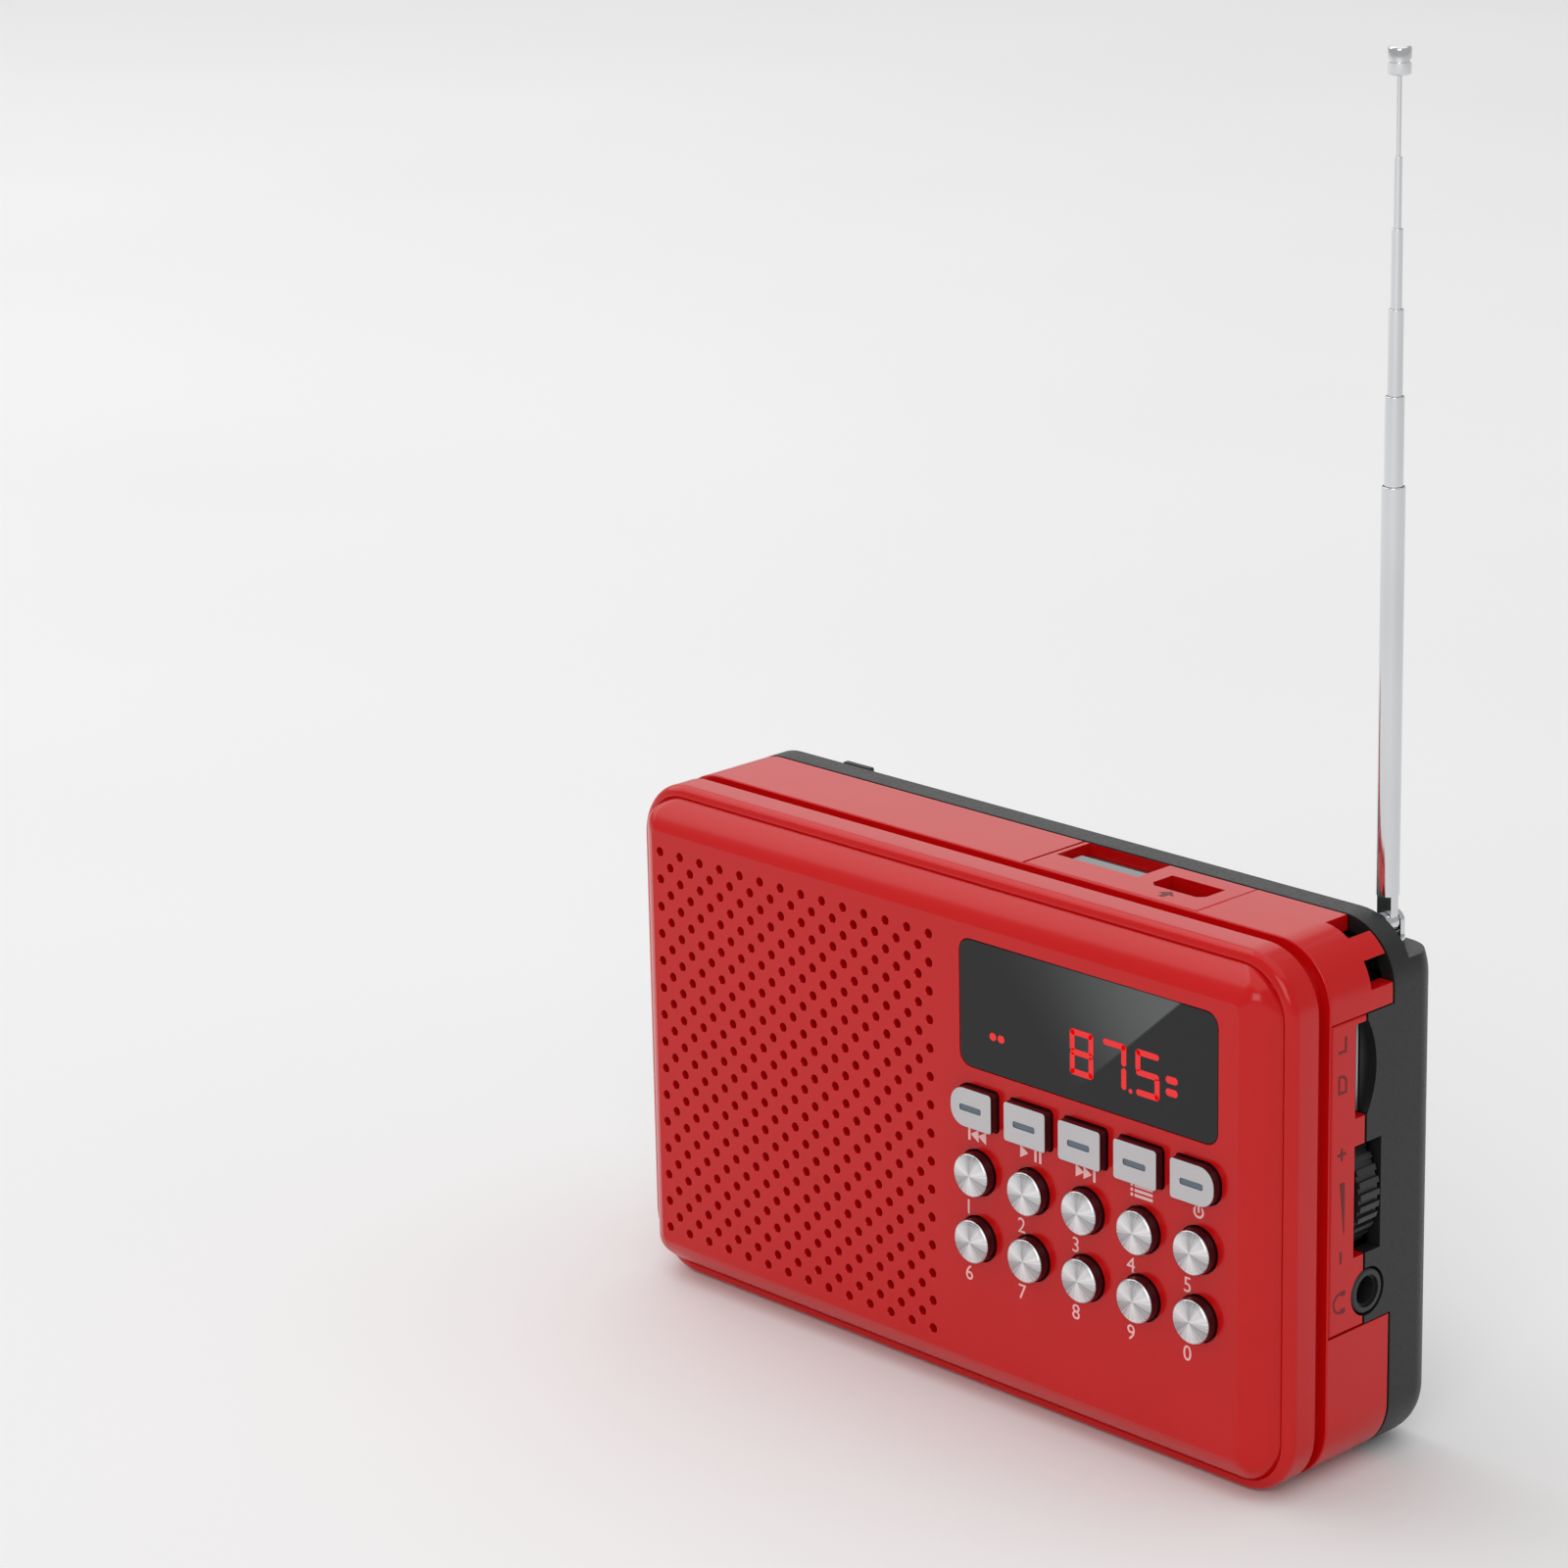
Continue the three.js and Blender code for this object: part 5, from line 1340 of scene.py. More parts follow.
@dataclass
class DisplayWindow:
    """Tinted window with lit segments: three digits, a point and two small marks."""

    digit_height: float = 6.0
    digit_width: float = 3.9
    stroke: float = 0.8
    digits: tuple[tuple[str, float], ...] = (("abcdefg", 81.2), ("abc", 86.6), ("acdfg", 92.0))
    bottom: float = 49.0
    segment_gap: float = 0.12
    chamfer: float = 0.3
    proud: float = 0.02
    sunk: float = 0.1
    edge: float = 0.12
    marks: tuple[tuple[Span, Span], ...] = (
        ((90.9, 91.5), (48.9, 49.5)),
        ((96.9, 98.8), (50.2, 51.15)),
        ((96.9, 98.8), (51.8, 52.75)),
        ((67.6, 68.7), (50.0, 51.0)),
        ((69.0, 70.1), (50.0, 51.0)),
    )

    def build(self) -> list[bpy.types.Object]:
        """Make the window and everything lit in it.

        Returns:
            The finished pieces.
        """
        sheet = WINDOW.plate("window_sheet", 0.0, (self.edge, WINDOW.thickness))
        crown(sheet, (0, -1, 0), quarter(self.edge, self.edge, 2))
        sheet = fit(sheet, Fitting("casing", "window_plastic", WINDOW_ACRYLIC, ("display_window",)))
        bars = []
        for segments, left in self.digits:
            bars += [self._segment(name, left) for name in segments]
        bars += [self._bar(x, z) for x, z in self.marks]
        lit = join("lit_segments", *bars)
        return [sheet, fit(lit, Fitting("casing", "window_plastic", LIT_SEGMENT))]

    def _segment(self, name: str, left: float) -> bpy.types.Object:
        """Make one segment of a digit, named a to g clockwise from the top, g in the middle.

        Args:
            name: The segment's letter.
            left: The digit's left edge.

        Returns:
            The segment.
        """
        right = left + self.digit_width
        half = self.digit_height / 2
        s, gap = self.stroke, self.segment_gap
        low, mid, high = self.bottom, self.bottom + half, self.bottom + 2 * half
        places = {
            "a": ((left + gap, right - gap), (high - s, high)),
            "d": ((left + gap, right - gap), (low, low + s)),
            "g": ((left + gap, right - gap), (mid - s / 2, mid + s / 2)),
            "b": ((right - s, right), (mid + gap, high - gap)),
            "c": ((right - s, right), (low + gap, mid - gap)),
            "e": ((left, left + s), (low + gap, mid - gap)),
            "f": ((left, left + s), (mid + gap, high - gap)),
        }
        return self._bar(*places[name])

    def _bar(self, x: Span, z: Span) -> bpy.types.Object:
        """Make one lit bar with pointed ends.

        Args:
            x: From and to across.
            z: From and to in height.

        Returns:
            The bar.
        """
        bar = block("lit_bar", x, (-self.proud, self.sunk), z)
        narrow = min(x[1] - x[0], z[1] - z[0])
        return round_edges(bar, Axis.Y, narrow * self.chamfer, 1)


@dataclass
class Keypad:
    """Five function keys with a sunk line and ten spun number keys with printed numbers."""

    edge: float = 0.18
    line: tuple[float, float] = (3.7, 0.85)
    line_corner: float = 0.3
    line_deep: float = 0.22
    line_ink: tuple[float, float] = (0.1, 0.24)
    number_edge: float = 0.42
    number_ring: tuple[tuple[float, float], ...] = ((0.08, -0.03), (0.08, 0.03))
    number_dome: tuple[float, float] = (1.6, 0.1)
    number_size: float = 2.9
    number_drop: float = 5.2
    number_left: float = 1.75
    sign_up: float = 36.5
    sign_tall: float = 1.7
    sign_bar: float = 0.4
    sign_gap: float = 0.25
    sign_space: float = 0.1
    sign_half: float = 1.7
    list_half: float = 1.8
    play_places: tuple[float, float, float] = (-1.9, 0.5, 1.3)
    power_wall: float = 0.3
    power_gap: float = 0.45
    power_stroke: float = 0.16
    arrow: float = 1.3
    arrow_point: float = 0.06
    ink: float = 0.015

    def build(self) -> list[bpy.types.Object]:
        """Make every key and number.

        Returns:
            The finished pieces.
        """
        pieces = [self._function_key(column) for column in range(KEYS.count)]
        pieces = [piece for pair in pieces for piece in pair]
        first = self._number_blank()
        for row, up in enumerate(KEYS.number_up):
            for column, across in enumerate(KEYS.across()):
                digit = (row * KEYS.count + column + 1) % 10
                pieces.append(self._number_key(first, digit, across, up))
                pieces.append(self._number(digit, across, up))
        discard(first)
        return [*pieces, self._signs()]

    def _function_key(self, column: int) -> list[bpy.types.Object]:
        """Make a function key and the ink in its line.

        Args:
            column: Its column, from nought.

        Returns:
            The key and the ink.
        """
        name = f"function_key_{column + 1}"
        cap = KEYS.function_blank(
            f"{name}_cap", column, 0.0, (self.edge - KEYS.function_proud, KEYS.flange_rear)
        )
        crown(cap, (0, -1, 0), quarter(self.edge, self.edge, 3))
        flange = KEYS.function_blank(
            "flange", column, KEYS.flange, (KEYS.flange_front, KEYS.flange_rear)
        )
        across = KEYS.across()[column]
        long, tall = self.line
        x = (across - long / 2, across + long / 2)
        z = (KEYS.function_up - tall / 2, KEYS.function_up + tall / 2)
        stem = rod(
            "stem",
            (across, KEYS.function_up),
            KEYS.stem_radius,
            (KEYS.flange_rear - KEYS.stem_sink, KEYS.stem_rear),
            Axis.Y,
        )
        add(cap, flange, stem)
        front, corner = -KEYS.function_proud, tall * self.line_corner
        near, far = self.line_ink
        cut(cap, slab("line_tool", x, (front - PAST, front + self.line_deep), z, corner, 3))
        ink = slab(f"{name}_ink", x, (front + near, front + far), z, corner, 3)
        fit(cap, Fitting(name, "grey_key_plastic", KEY_GREY, (name,)))
        # The key's sides get painted shade.
        return [two_tone(cap, KEY_SIDE_SHADE), fit(ink, Fitting(name, "grey_key_plastic", KEY_LINE))]

    def _ink(self, x: Span, z: Span) -> bpy.types.Object:
        """Print a bar on the face.

        Args:
            x: From and to across.
            z: From and to in height.

        Returns:
            The bar.
        """
        return block("ink_bar", x, (-self.ink, self.ink), z)

    def _arrow(self, left: float, way: int) -> bpy.types.Object:
        """Print an arrow head.

        Args:
            left: Its left end.
            way: One if it points right, minus one if it points left.

        Returns:
            The arrow head.
        """
        z = (self.sign_up - self.sign_tall / 2, self.sign_up + self.sign_tall / 2)
        head = self._ink((left, left + self.arrow), z)
        return taper(head, (way, 0, 0), (1, 1, self.arrow_point), place(left, 0, self.sign_up))

    def _signs(self) -> bpy.types.Object:
        """Print what each function key does below it: back, play, next, list and power.

        Returns:
            The finished signs as one piece.
        """
        back, play, onward, listing, power = KEYS.across()
        low, high = self.sign_up - self.sign_tall / 2, self.sign_up + self.sign_tall / 2
        bar, half, wide = self.sign_bar, self.sign_half, self.list_half
        signs = [self._ink((back - half, back - half + bar), (low, high))]
        first = back - half + bar + self.sign_space
        signs += [self._arrow(first + step, -1) for step in (0, self.arrow)]
        start, *stops = (play + at for at in self.play_places)
        signs.append(self._arrow(start, 1))
        signs += [self._ink((at, at + bar), (low, high)) for at in stops]
        signs += [self._arrow(onward - half + step, 1) for step in (0, self.arrow)]
        last = onward + half - bar - self.sign_space
        signs.append(self._ink((last, last + bar), (low, high)))
        left = listing - wide
        for up in (low, self.sign_up - bar / 2, high - bar):
            signs.append(self._ink((left, left + bar), (up, up + bar)))
            signs.append(self._ink((left + bar + self.sign_gap, listing + wide), (up, up + bar)))
        centre, radius = (power, self.sign_up), self.sign_tall / 2
        through = (-PAST, PAST)
        ring = rod("ring", centre, radius, (-self.ink, self.ink), Axis.Y, 24)
        hole = rod("hole", centre, radius - self.power_wall, through, Axis.Y, 24)
        gap, stroke = self.power_gap, self.power_stroke
        top = (self.sign_up, high + PAST)
        cut(ring, hole, block("gap", (power - gap, power + gap), through, top))
        signs.append(ring)
        foot = self.sign_up - self.sign_space
        signs.append(self._ink((power - stroke, power + stroke), (foot, high)))
        return fit(join("key_signs", *signs), Fitting("casing", "red_plastic", PRINT_INK))

    def _number_blank(self) -> bpy.types.Object:
        """Make the round key that the others are copied from, about the bezel's corner.

        Returns:
            The blank.
        """
        radius = KEYS.number_radius
        edge = self.number_edge
        rim, rise = self.number_dome
        front = edge + rise - KEYS.number_proud
        body = rod("number_blank", (0, 0), radius, (front, KEYS.flange_rear), Axis.Y, 48)
        steps = quarter(edge, edge, 5)
        steps += [*self.number_ring, (radius - rim, rise)]
        crown(body, (0, -1, 0), steps)
        flange = rod(
            "flange",
            (0, 0),
            radius + KEYS.flange,
            (KEYS.flange_front, KEYS.flange_rear),
            Axis.Y,
            48,
        )
        stem = rod(
            "stem",
            (0, 0),
            KEYS.stem_radius,
            (KEYS.flange_rear - KEYS.stem_sink, KEYS.stem_rear),
            Axis.Y,
        )
        add(body, flange, stem)
        plan = body.data.uv_layers.new(name="plan") if not body.data.uv_layers else None
        plan = plan or body.data.uv_layers[0]
        plan.name = "plan"
        for loop in body.data.loops:
            spot = (body.data.vertices[loop.vertex_index].co - ORIGIN) / MM
            plan.data[loop.index].uv = (spot.x, spot.z)
        return body

    def _number_key(
        self, blank: bpy.types.Object, digit: int, across: float, up: float
    ) -> bpy.types.Object:
        """Copy the round key to its place.

        Args:
            blank: The key to copy.
            digit: The key's number.
            across: Its place across.
            up: Its height.

        Returns:
            The finished key.
        """
        name = f"number_key_{digit}"
        key = copy_of(blank, f"{name}_cap", (across, 0, up))
        fit(key, Fitting(name, "spun_metal", SPUN_ALUMINIUM, (name,)))
        # The key's sides get painted shade.
        return two_tone(key, KEY_SIDE_SHADE)

    def _number(self, digit: int, across: float, up: float) -> bpy.types.Object:
        """Print a key's number below it on the face.

        Args:
            digit: The number.
            across: The key's place across.
            up: The key's height.

        Returns:
            The finished number.
        """
        bpy.ops.object.select_all(action="DESELECT")
        bpy.ops.object.text_add()
        text = bpy.context.active_object
        text.data.body = str(digit)
        text.data.size = self.number_size * MM
        text.data.extrude = self.ink * MM
        text.data.resolution_u = 3
        text.data.align_x = "CENTER"
        text.data.align_y = "CENTER"
        bpy.ops.object.convert(target="MESH")
        number = bpy.context.active_object
        number.rotation_euler = TURNS[Axis.Y]
        number.location = place(across - self.number_left, 0, up - self.number_drop)
        number = settle(f"number_{digit}")
        return fit(number, Fitting("casing", "red_plastic", PRINT_INK))


# ------------------------------------------------------------------ middle


@dataclass
class MidFrame:
    """Red ring between the bezel and the rear cover, with the reveal groove and strap loop."""

    edge: float = 0.25
    lip: float = 1.4
    lip_y: Span = (6.5, 10.8)
    seat_depth: float = 3.0
    notch_inner: float = 4.0
    notch_depth: float = 4.2
    notch_top: Span = (106.7, 110.3)
    notch_side: Span = (63.0, 66.4)
    top_panel: Span = (63.7, 92.5)

    def build(self) -> bpy.types.Object:
        """Make the ring.

        Returns:
            The finished ring.
        """
        front, rear = SHELL.groove_rear, SHELL.frame_rear
        body = SHELL.plate("mid_ring", 0.0, (front + self.edge, rear - self.edge))
        crown(body, (0, -1, 0), quarter(self.edge, self.edge, 3))
        crown(body, (0, 1, 0), quarter(self.edge, self.edge, 3))
        cut(body, SHELL.plate("ring_room", SHELL.wall, (front - PAST, rear + PAST)))
        inset = SHELL.groove_depth
        add(body, SHELL.ring("ring_lip", inset, inset + self.lip, self.lip_y))
        gap = SHELL.gap
        top, side = SHELL.height, SHELL.width
        low, high = self.top_panel
        seat = (front + gap, rear + PAST)
        notch = (rear - self.notch_depth, rear + PAST)
        top_span = (top - self.seat_depth, top + PAST)
        side_span = (side - self.seat_depth, side + PAST)
        up = (SHELL.panel_low - gap, SHELL.panel_high + gap)
        inner = self.notch_inner
        cut(
            body,
            block("top_seat", (low - gap, high + gap), seat, top_span),
            block("side_seat", side_span, seat, up),
            block("strap_top", self.notch_top, notch, (top - inner, top + PAST)),
            block("strap_side", (side - inner, side + PAST), notch, self.notch_side),
        )
        return fit(body, Fitting("casing", "red_plastic", RED_ABS, ("mid_frame",)))


@dataclass
class PortPanel:
    """What both port panels share: a plate with a neck and a wider flange behind it.

    The neck and the flange are each given by how far they start and end under the surface.
    """

    edge: float = 0.3
    plate: float = 2.0
    neck: Span = (2.5, 1.8)
    flange: Span = (3.5, 2.3)
    flange_reach: float = 1.2
    flange_back: float = 1.4
    front: float = SHELL.groove_rear + 2 * SHELL.gap

    def beside(self, span: Span) -> Span:
        """Widen the panel's span to its flange's.

        Args:
            span: The panel's span.

        Returns:
            The flange's span.
        """
        return (span[0] - self.flange_reach, span[1] + self.flange_reach)


@dataclass
class TopPortPanel(PortPanel):
    """Red panel on top with the USB-A and charging openings."""

    x: Span = (63.7, 92.5)
    mark: Span = (-0.1, 0.02)
    stalk: tuple[Span, Span] = ((85.1, 85.9), (11.9, 13.0))
    head: tuple[Span, Span] = ((84.3, 86.7), (12.9, 14.1))
    head_point: float = 1.15

    def build(self) -> list[bpy.types.Object]:
        """Make the panel and its marks.

        Returns:
            The finished pieces.
        """
        top = SHELL.height
        rear = SHELL.frame_rear
        body = block("top_panel", self.x, (self.front, rear), (top - self.plate, top - self.edge))
        crown(body, (0, 0, 1), quarter(self.edge, self.edge, 3))
        back = (self.front + self.flange_back, rear)
        (neck_low, neck_high), (low, high) = self.neck, self.flange
        flange = block("panel_flange", self.beside(self.x), back, (top - low, top - high))
        neck = block("panel_neck", self.x, back, (top - neck_low, top - neck_high))
        add(body, flange, neck)
        cut(body, PORTS.top_tool("usb_tool", PORTS.usb_x, PORTS.usb_y), self._charge_tool())
        panel = fit(body, Fitting("casing", "red_plastic", RED_ABS, ("top_port_panel",)))
        return [panel, self._arrow()]

    def _charge_tool(self) -> bpy.types.Object:
        """Make the tool for the charging opening, whose front corners are cut off.

        Returns:
            The tool.
        """
        tool = PORTS.top_tool("charge_tool", PORTS.charge_x, PORTS.charge_y)
        middle = place(0, sum(PORTS.charge_y) / 2, 0).y
        return round_edges(tool, Axis.Z, PORTS.charge_taper, 1, lambda spot: spot.y < middle)

    def _arrow(self) -> bpy.types.Object:
        """Make the small arrow that points at the charging opening.

        Returns:
            The finished arrow.
        """
        up = tuple(SHELL.height + share for share in self.mark)
        stalk = block("port_arrow", *self.stalk, up)
        head = block("arrow_head", *self.head, up)
        middle = place(0, sum(self.head[1]) / 2, 0).y
        round_edges(head, Axis.Z, self.head_point, 1, lambda spot: spot.y > middle)
        return fit(add(stalk, head), Fitting("casing", "red_plastic", RED_MARK))


@dataclass
class SidePortPanel(PortPanel):
    """Red panel on the right side, opened for the card, the wheel and the earphone jack.

    The marks stand in a row down the panel. Bars of marks are given from and to in depth, counted
    from the row's middle, and from and to in height.
    """

    marks_back: float = 12.6
    mark: Span = (-0.1, 0.03)
    plus: tuple[tuple[Span, Span], ...] = (
        ((-0.17, 0.17), (42.6, 44.2)),
        ((-0.8, 0.8), (43.23, 43.57)),
    )
    minus: tuple[tuple[Span, Span], ...] = (((-0.17, 0.17), (29.2, 30.8)),)
    hook: tuple[tuple[Span, Span], ...] = (
        ((0.35, 0.7), (56.4, 58.4)),
        ((-0.8, 0.4), (56.4, 56.75)),
    )
    wedge: tuple[Span, Span] = ((-0.3, 0.6), (33.0, 39.7))
    wedge_point: float = 0.15
    card: tuple[Span, Span] = ((-0.8, 0.8), (51.2, 53.6))
    card_line: float = 0.3
    card_corners: tuple[float, float] = (0.6, 0.5)
    ear_up: float = PORTS.jack[1]
    ear_radii: tuple[float, float] = (1.4, 1.1)
    ear_open: float = 0.2
    cup: tuple[Span, Span] = ((0.1, 0.9), (-0.3, 0.3))
    cup_out: float = 1.15

    def build(self) -> list[bpy.types.Object]:
        """Make the panel and its marks.

        Returns:
            The finished pieces.
        """
        y = (self.front, SHELL.step_front - SHELL.gap)
        z = (SHELL.panel_low, SHELL.panel_high)
        side = SHELL.width
        body = block("side_panel", (side - self.plate, side - self.edge), y, z)
        crown(body, (1, 0, 0), quarter(self.edge, self.edge, 3))
        back = (y[0] + self.flange_back, y[1])
        (neck_low, neck_high), (low, high) = self.neck, self.flange
        flange = block("side_flange", (side - low, side - high), back, self.beside(z))
        neck = block("side_neck", (side - neck_low, side - neck_high), back, z)
        add(body, flange, neck)
        cut(body, *PORTS.side_tools())
        panel = fit(body, Fitting("casing", "red_plastic", RED_ABS, ("side_port_panel",)))
        return [panel, self._marks()]

    def _mark(self, y: Span, z: Span) -> bpy.types.Object:
        """Make one bar of a mark on the side.

        Args:
            y: From and to in depth, counted from the row's middle.
            z: From and to in height.

        Returns:
            The bar.
        """
        x = (SHELL.width + self.mark[0], SHELL.width + self.mark[1])
        return block("mark_bar", x, (self.marks_back + y[0], self.marks_back + y[1]), z)

    def _bars(self, places: tuple[tuple[Span, Span], ...]) -> bpy.types.Object:
        """Make a mark of bars.

        Args:
            places: Where each bar lies.

        Returns:
            The mark.
        """
        first, *others = (self._mark(y, z) for y, z in places)
        return add(first, *others)

    def _card(self) -> bpy.types.Object:
        """Make the outline of a card with one corner cut off.

        Returns:
            The outline.
        """
        (near, far), (low, high) = self.card
        line, side = self.card_line, SHELL.width
        outer = self._mark(*self.card)
        inner = block(
            "hollow",
            (side - PAST, side + PAST),
            (self.marks_back + near + line, self.marks_back + far - line),
            (low + line, high - line),
        )
        middle = place(side, self.marks_back, (low + high) / 2)
        for piece, corner in zip((outer, inner), self.card_corners):
            round_edges(
                piece, Axis.X, corner, 1, lambda spot: spot.y > middle.y and spot.z > middle.z
            )
        return cut(outer, inner)

    def _earphones(self) -> bpy.types.Object:
        """Make the earphone mark: a band that opens towards the jack, with two cups.

        Returns:
            The mark.
        """
        middle, up, side = self.marks_back, self.ear_up, SHELL.width
        outer, inner = self.ear_radii
        through = (side - PAST, side + PAST)
        x = (side + self.mark[0], side + self.mark[1])
        reach = outer + PAST
        band = rod("band", (middle, up), outer, x, Axis.X)
        hole = rod("hole", (middle, up), inner, through, Axis.X)
        opened = (middle + self.ear_open, middle + reach)
        cut(band, hole, block("open_end", through, opened, (up - reach, up + reach)))
        y, (low, high) = self.cup
        spots = (up - self.cup_out, up + self.cup_out)
        return add(band, *(self._mark(y, (spot + low, spot + high)) for spot in spots))

    def _marks(self) -> bpy.types.Object:
        """Make the plus, the wedge, the minus, the card, its hook and the earphone mark.

        Returns:
            The finished marks as one piece.
        """
        wedge = self._mark(*self.wedge)
        foot = place(SHELL.width, self.marks_back + self.wedge[0][1], self.wedge[1][0])
        taper(wedge, (0, 0, -1), (1, self.wedge_point, 1), foot)
        bars = [self._bars(places) for places in (self.plus, self.minus, self.hook)]
        marks = join("side_marks", *bars, wedge, self._card(), self._earphones())
        return fit(marks, Fitting("casing", "red_plastic", RED_MARK))


@dataclass
class VolumeWheel:
    """Black wheel with a ridged rim that shows in the side."""

    radius: float = 9.0
    ridge: float = 0.42
    ridges: int = 36
    y: Span = (15.75, 19.35)
    bore: float = 1.55
    crisp: float = 25.0

    def build(self) -> bpy.types.Object:
        """Make the wheel.

        Returns:
            The finished wheel.
        """
        centre = (PORTS.wheel_across, PORTS.wheel_up)
        sides = self.ridges * 4
        wheel = rod("ridged_wheel", centre, self.radius - self.ridge, self.y, Axis.Y, sides)
        hub = place(centre[0], 0, centre[1])
        turn = 2 * math.pi / sides

        def on_ridge(spot: Vector, normal: Vector) -> bool:
            """Say whether a side face belongs to a ridge.

            Args:
                spot: The face's middle.
                normal: The way it looks.

            Returns:
                True for two in four of the side faces.
            """
            angle = math.atan2(spot.z - hub.z, spot.x - hub.x) % (2 * math.pi)
            return abs(normal.y) < 0.5 and int(angle / turn) % 4 < 2

        pick(wheel, True, on_ridge)
        bpy.ops.mesh.extrude_region_shrink_fatten(
            TRANSFORM_OT_shrink_fatten={"value": self.ridge * MM}
        )
        bpy.ops.object.mode_set(mode="OBJECT")
        through = (self.y[0] - PAST, self.y[1] + PAST)
        cut(wheel, rod("bore", centre, self.bore, through, Axis.Y))
        fitting = Fitting("volume_wheel", "dark_plastic", DARK_NYLON, ("volume_wheel",))
        return fit(wheel, fitting, self.crisp)


@dataclass
class EarphoneJack:
    """Moulded jack with a rounded ring and a stepped bore."""

    ring: float = 2.9
    ring_edge: float = 0.4
    bore: float = 1.8
    mouth: tuple[float, float] = (0.3, 0.5)
    length: float = 12.0
    sunk: float = 1.8

    def build(self) -> bpy.types.Object:
        """Make the jack.

        Returns:
            The finished jack.
        """
        back, up = PORTS.jack
        side, edge = SHELL.width, self.ring_edge
        inner = side - SHELL.wall - self.sunk
        nose = rod("jack", (back, up), self.ring, (inner - PAST, side - edge), Axis.X, 48)
        crown(nose, (1, 0, 0), quarter(edge, edge, 4))
        body = block(
            "jack_body",
            (inner - self.length, inner),
            (back - self.ring, back + self.ring),
            (up - self.ring, up + self.ring),
        )
        add(nose, body)
        wider, deep = self.mouth
        depth = self.length + PAST
        cut(
            nose,
            rod("jack_bore", (back, up), self.bore, (side - depth, side + PAST), Axis.X),
            rod("jack_mouth", (back, up), self.bore + wider, (side - deep, side + PAST), Axis.X),
        )
        return fit(nose, Fitting("casing", "dark_plastic", DARK_NYLON, ("earphone_jack",)))


# ------------------------------------------------------------------ back


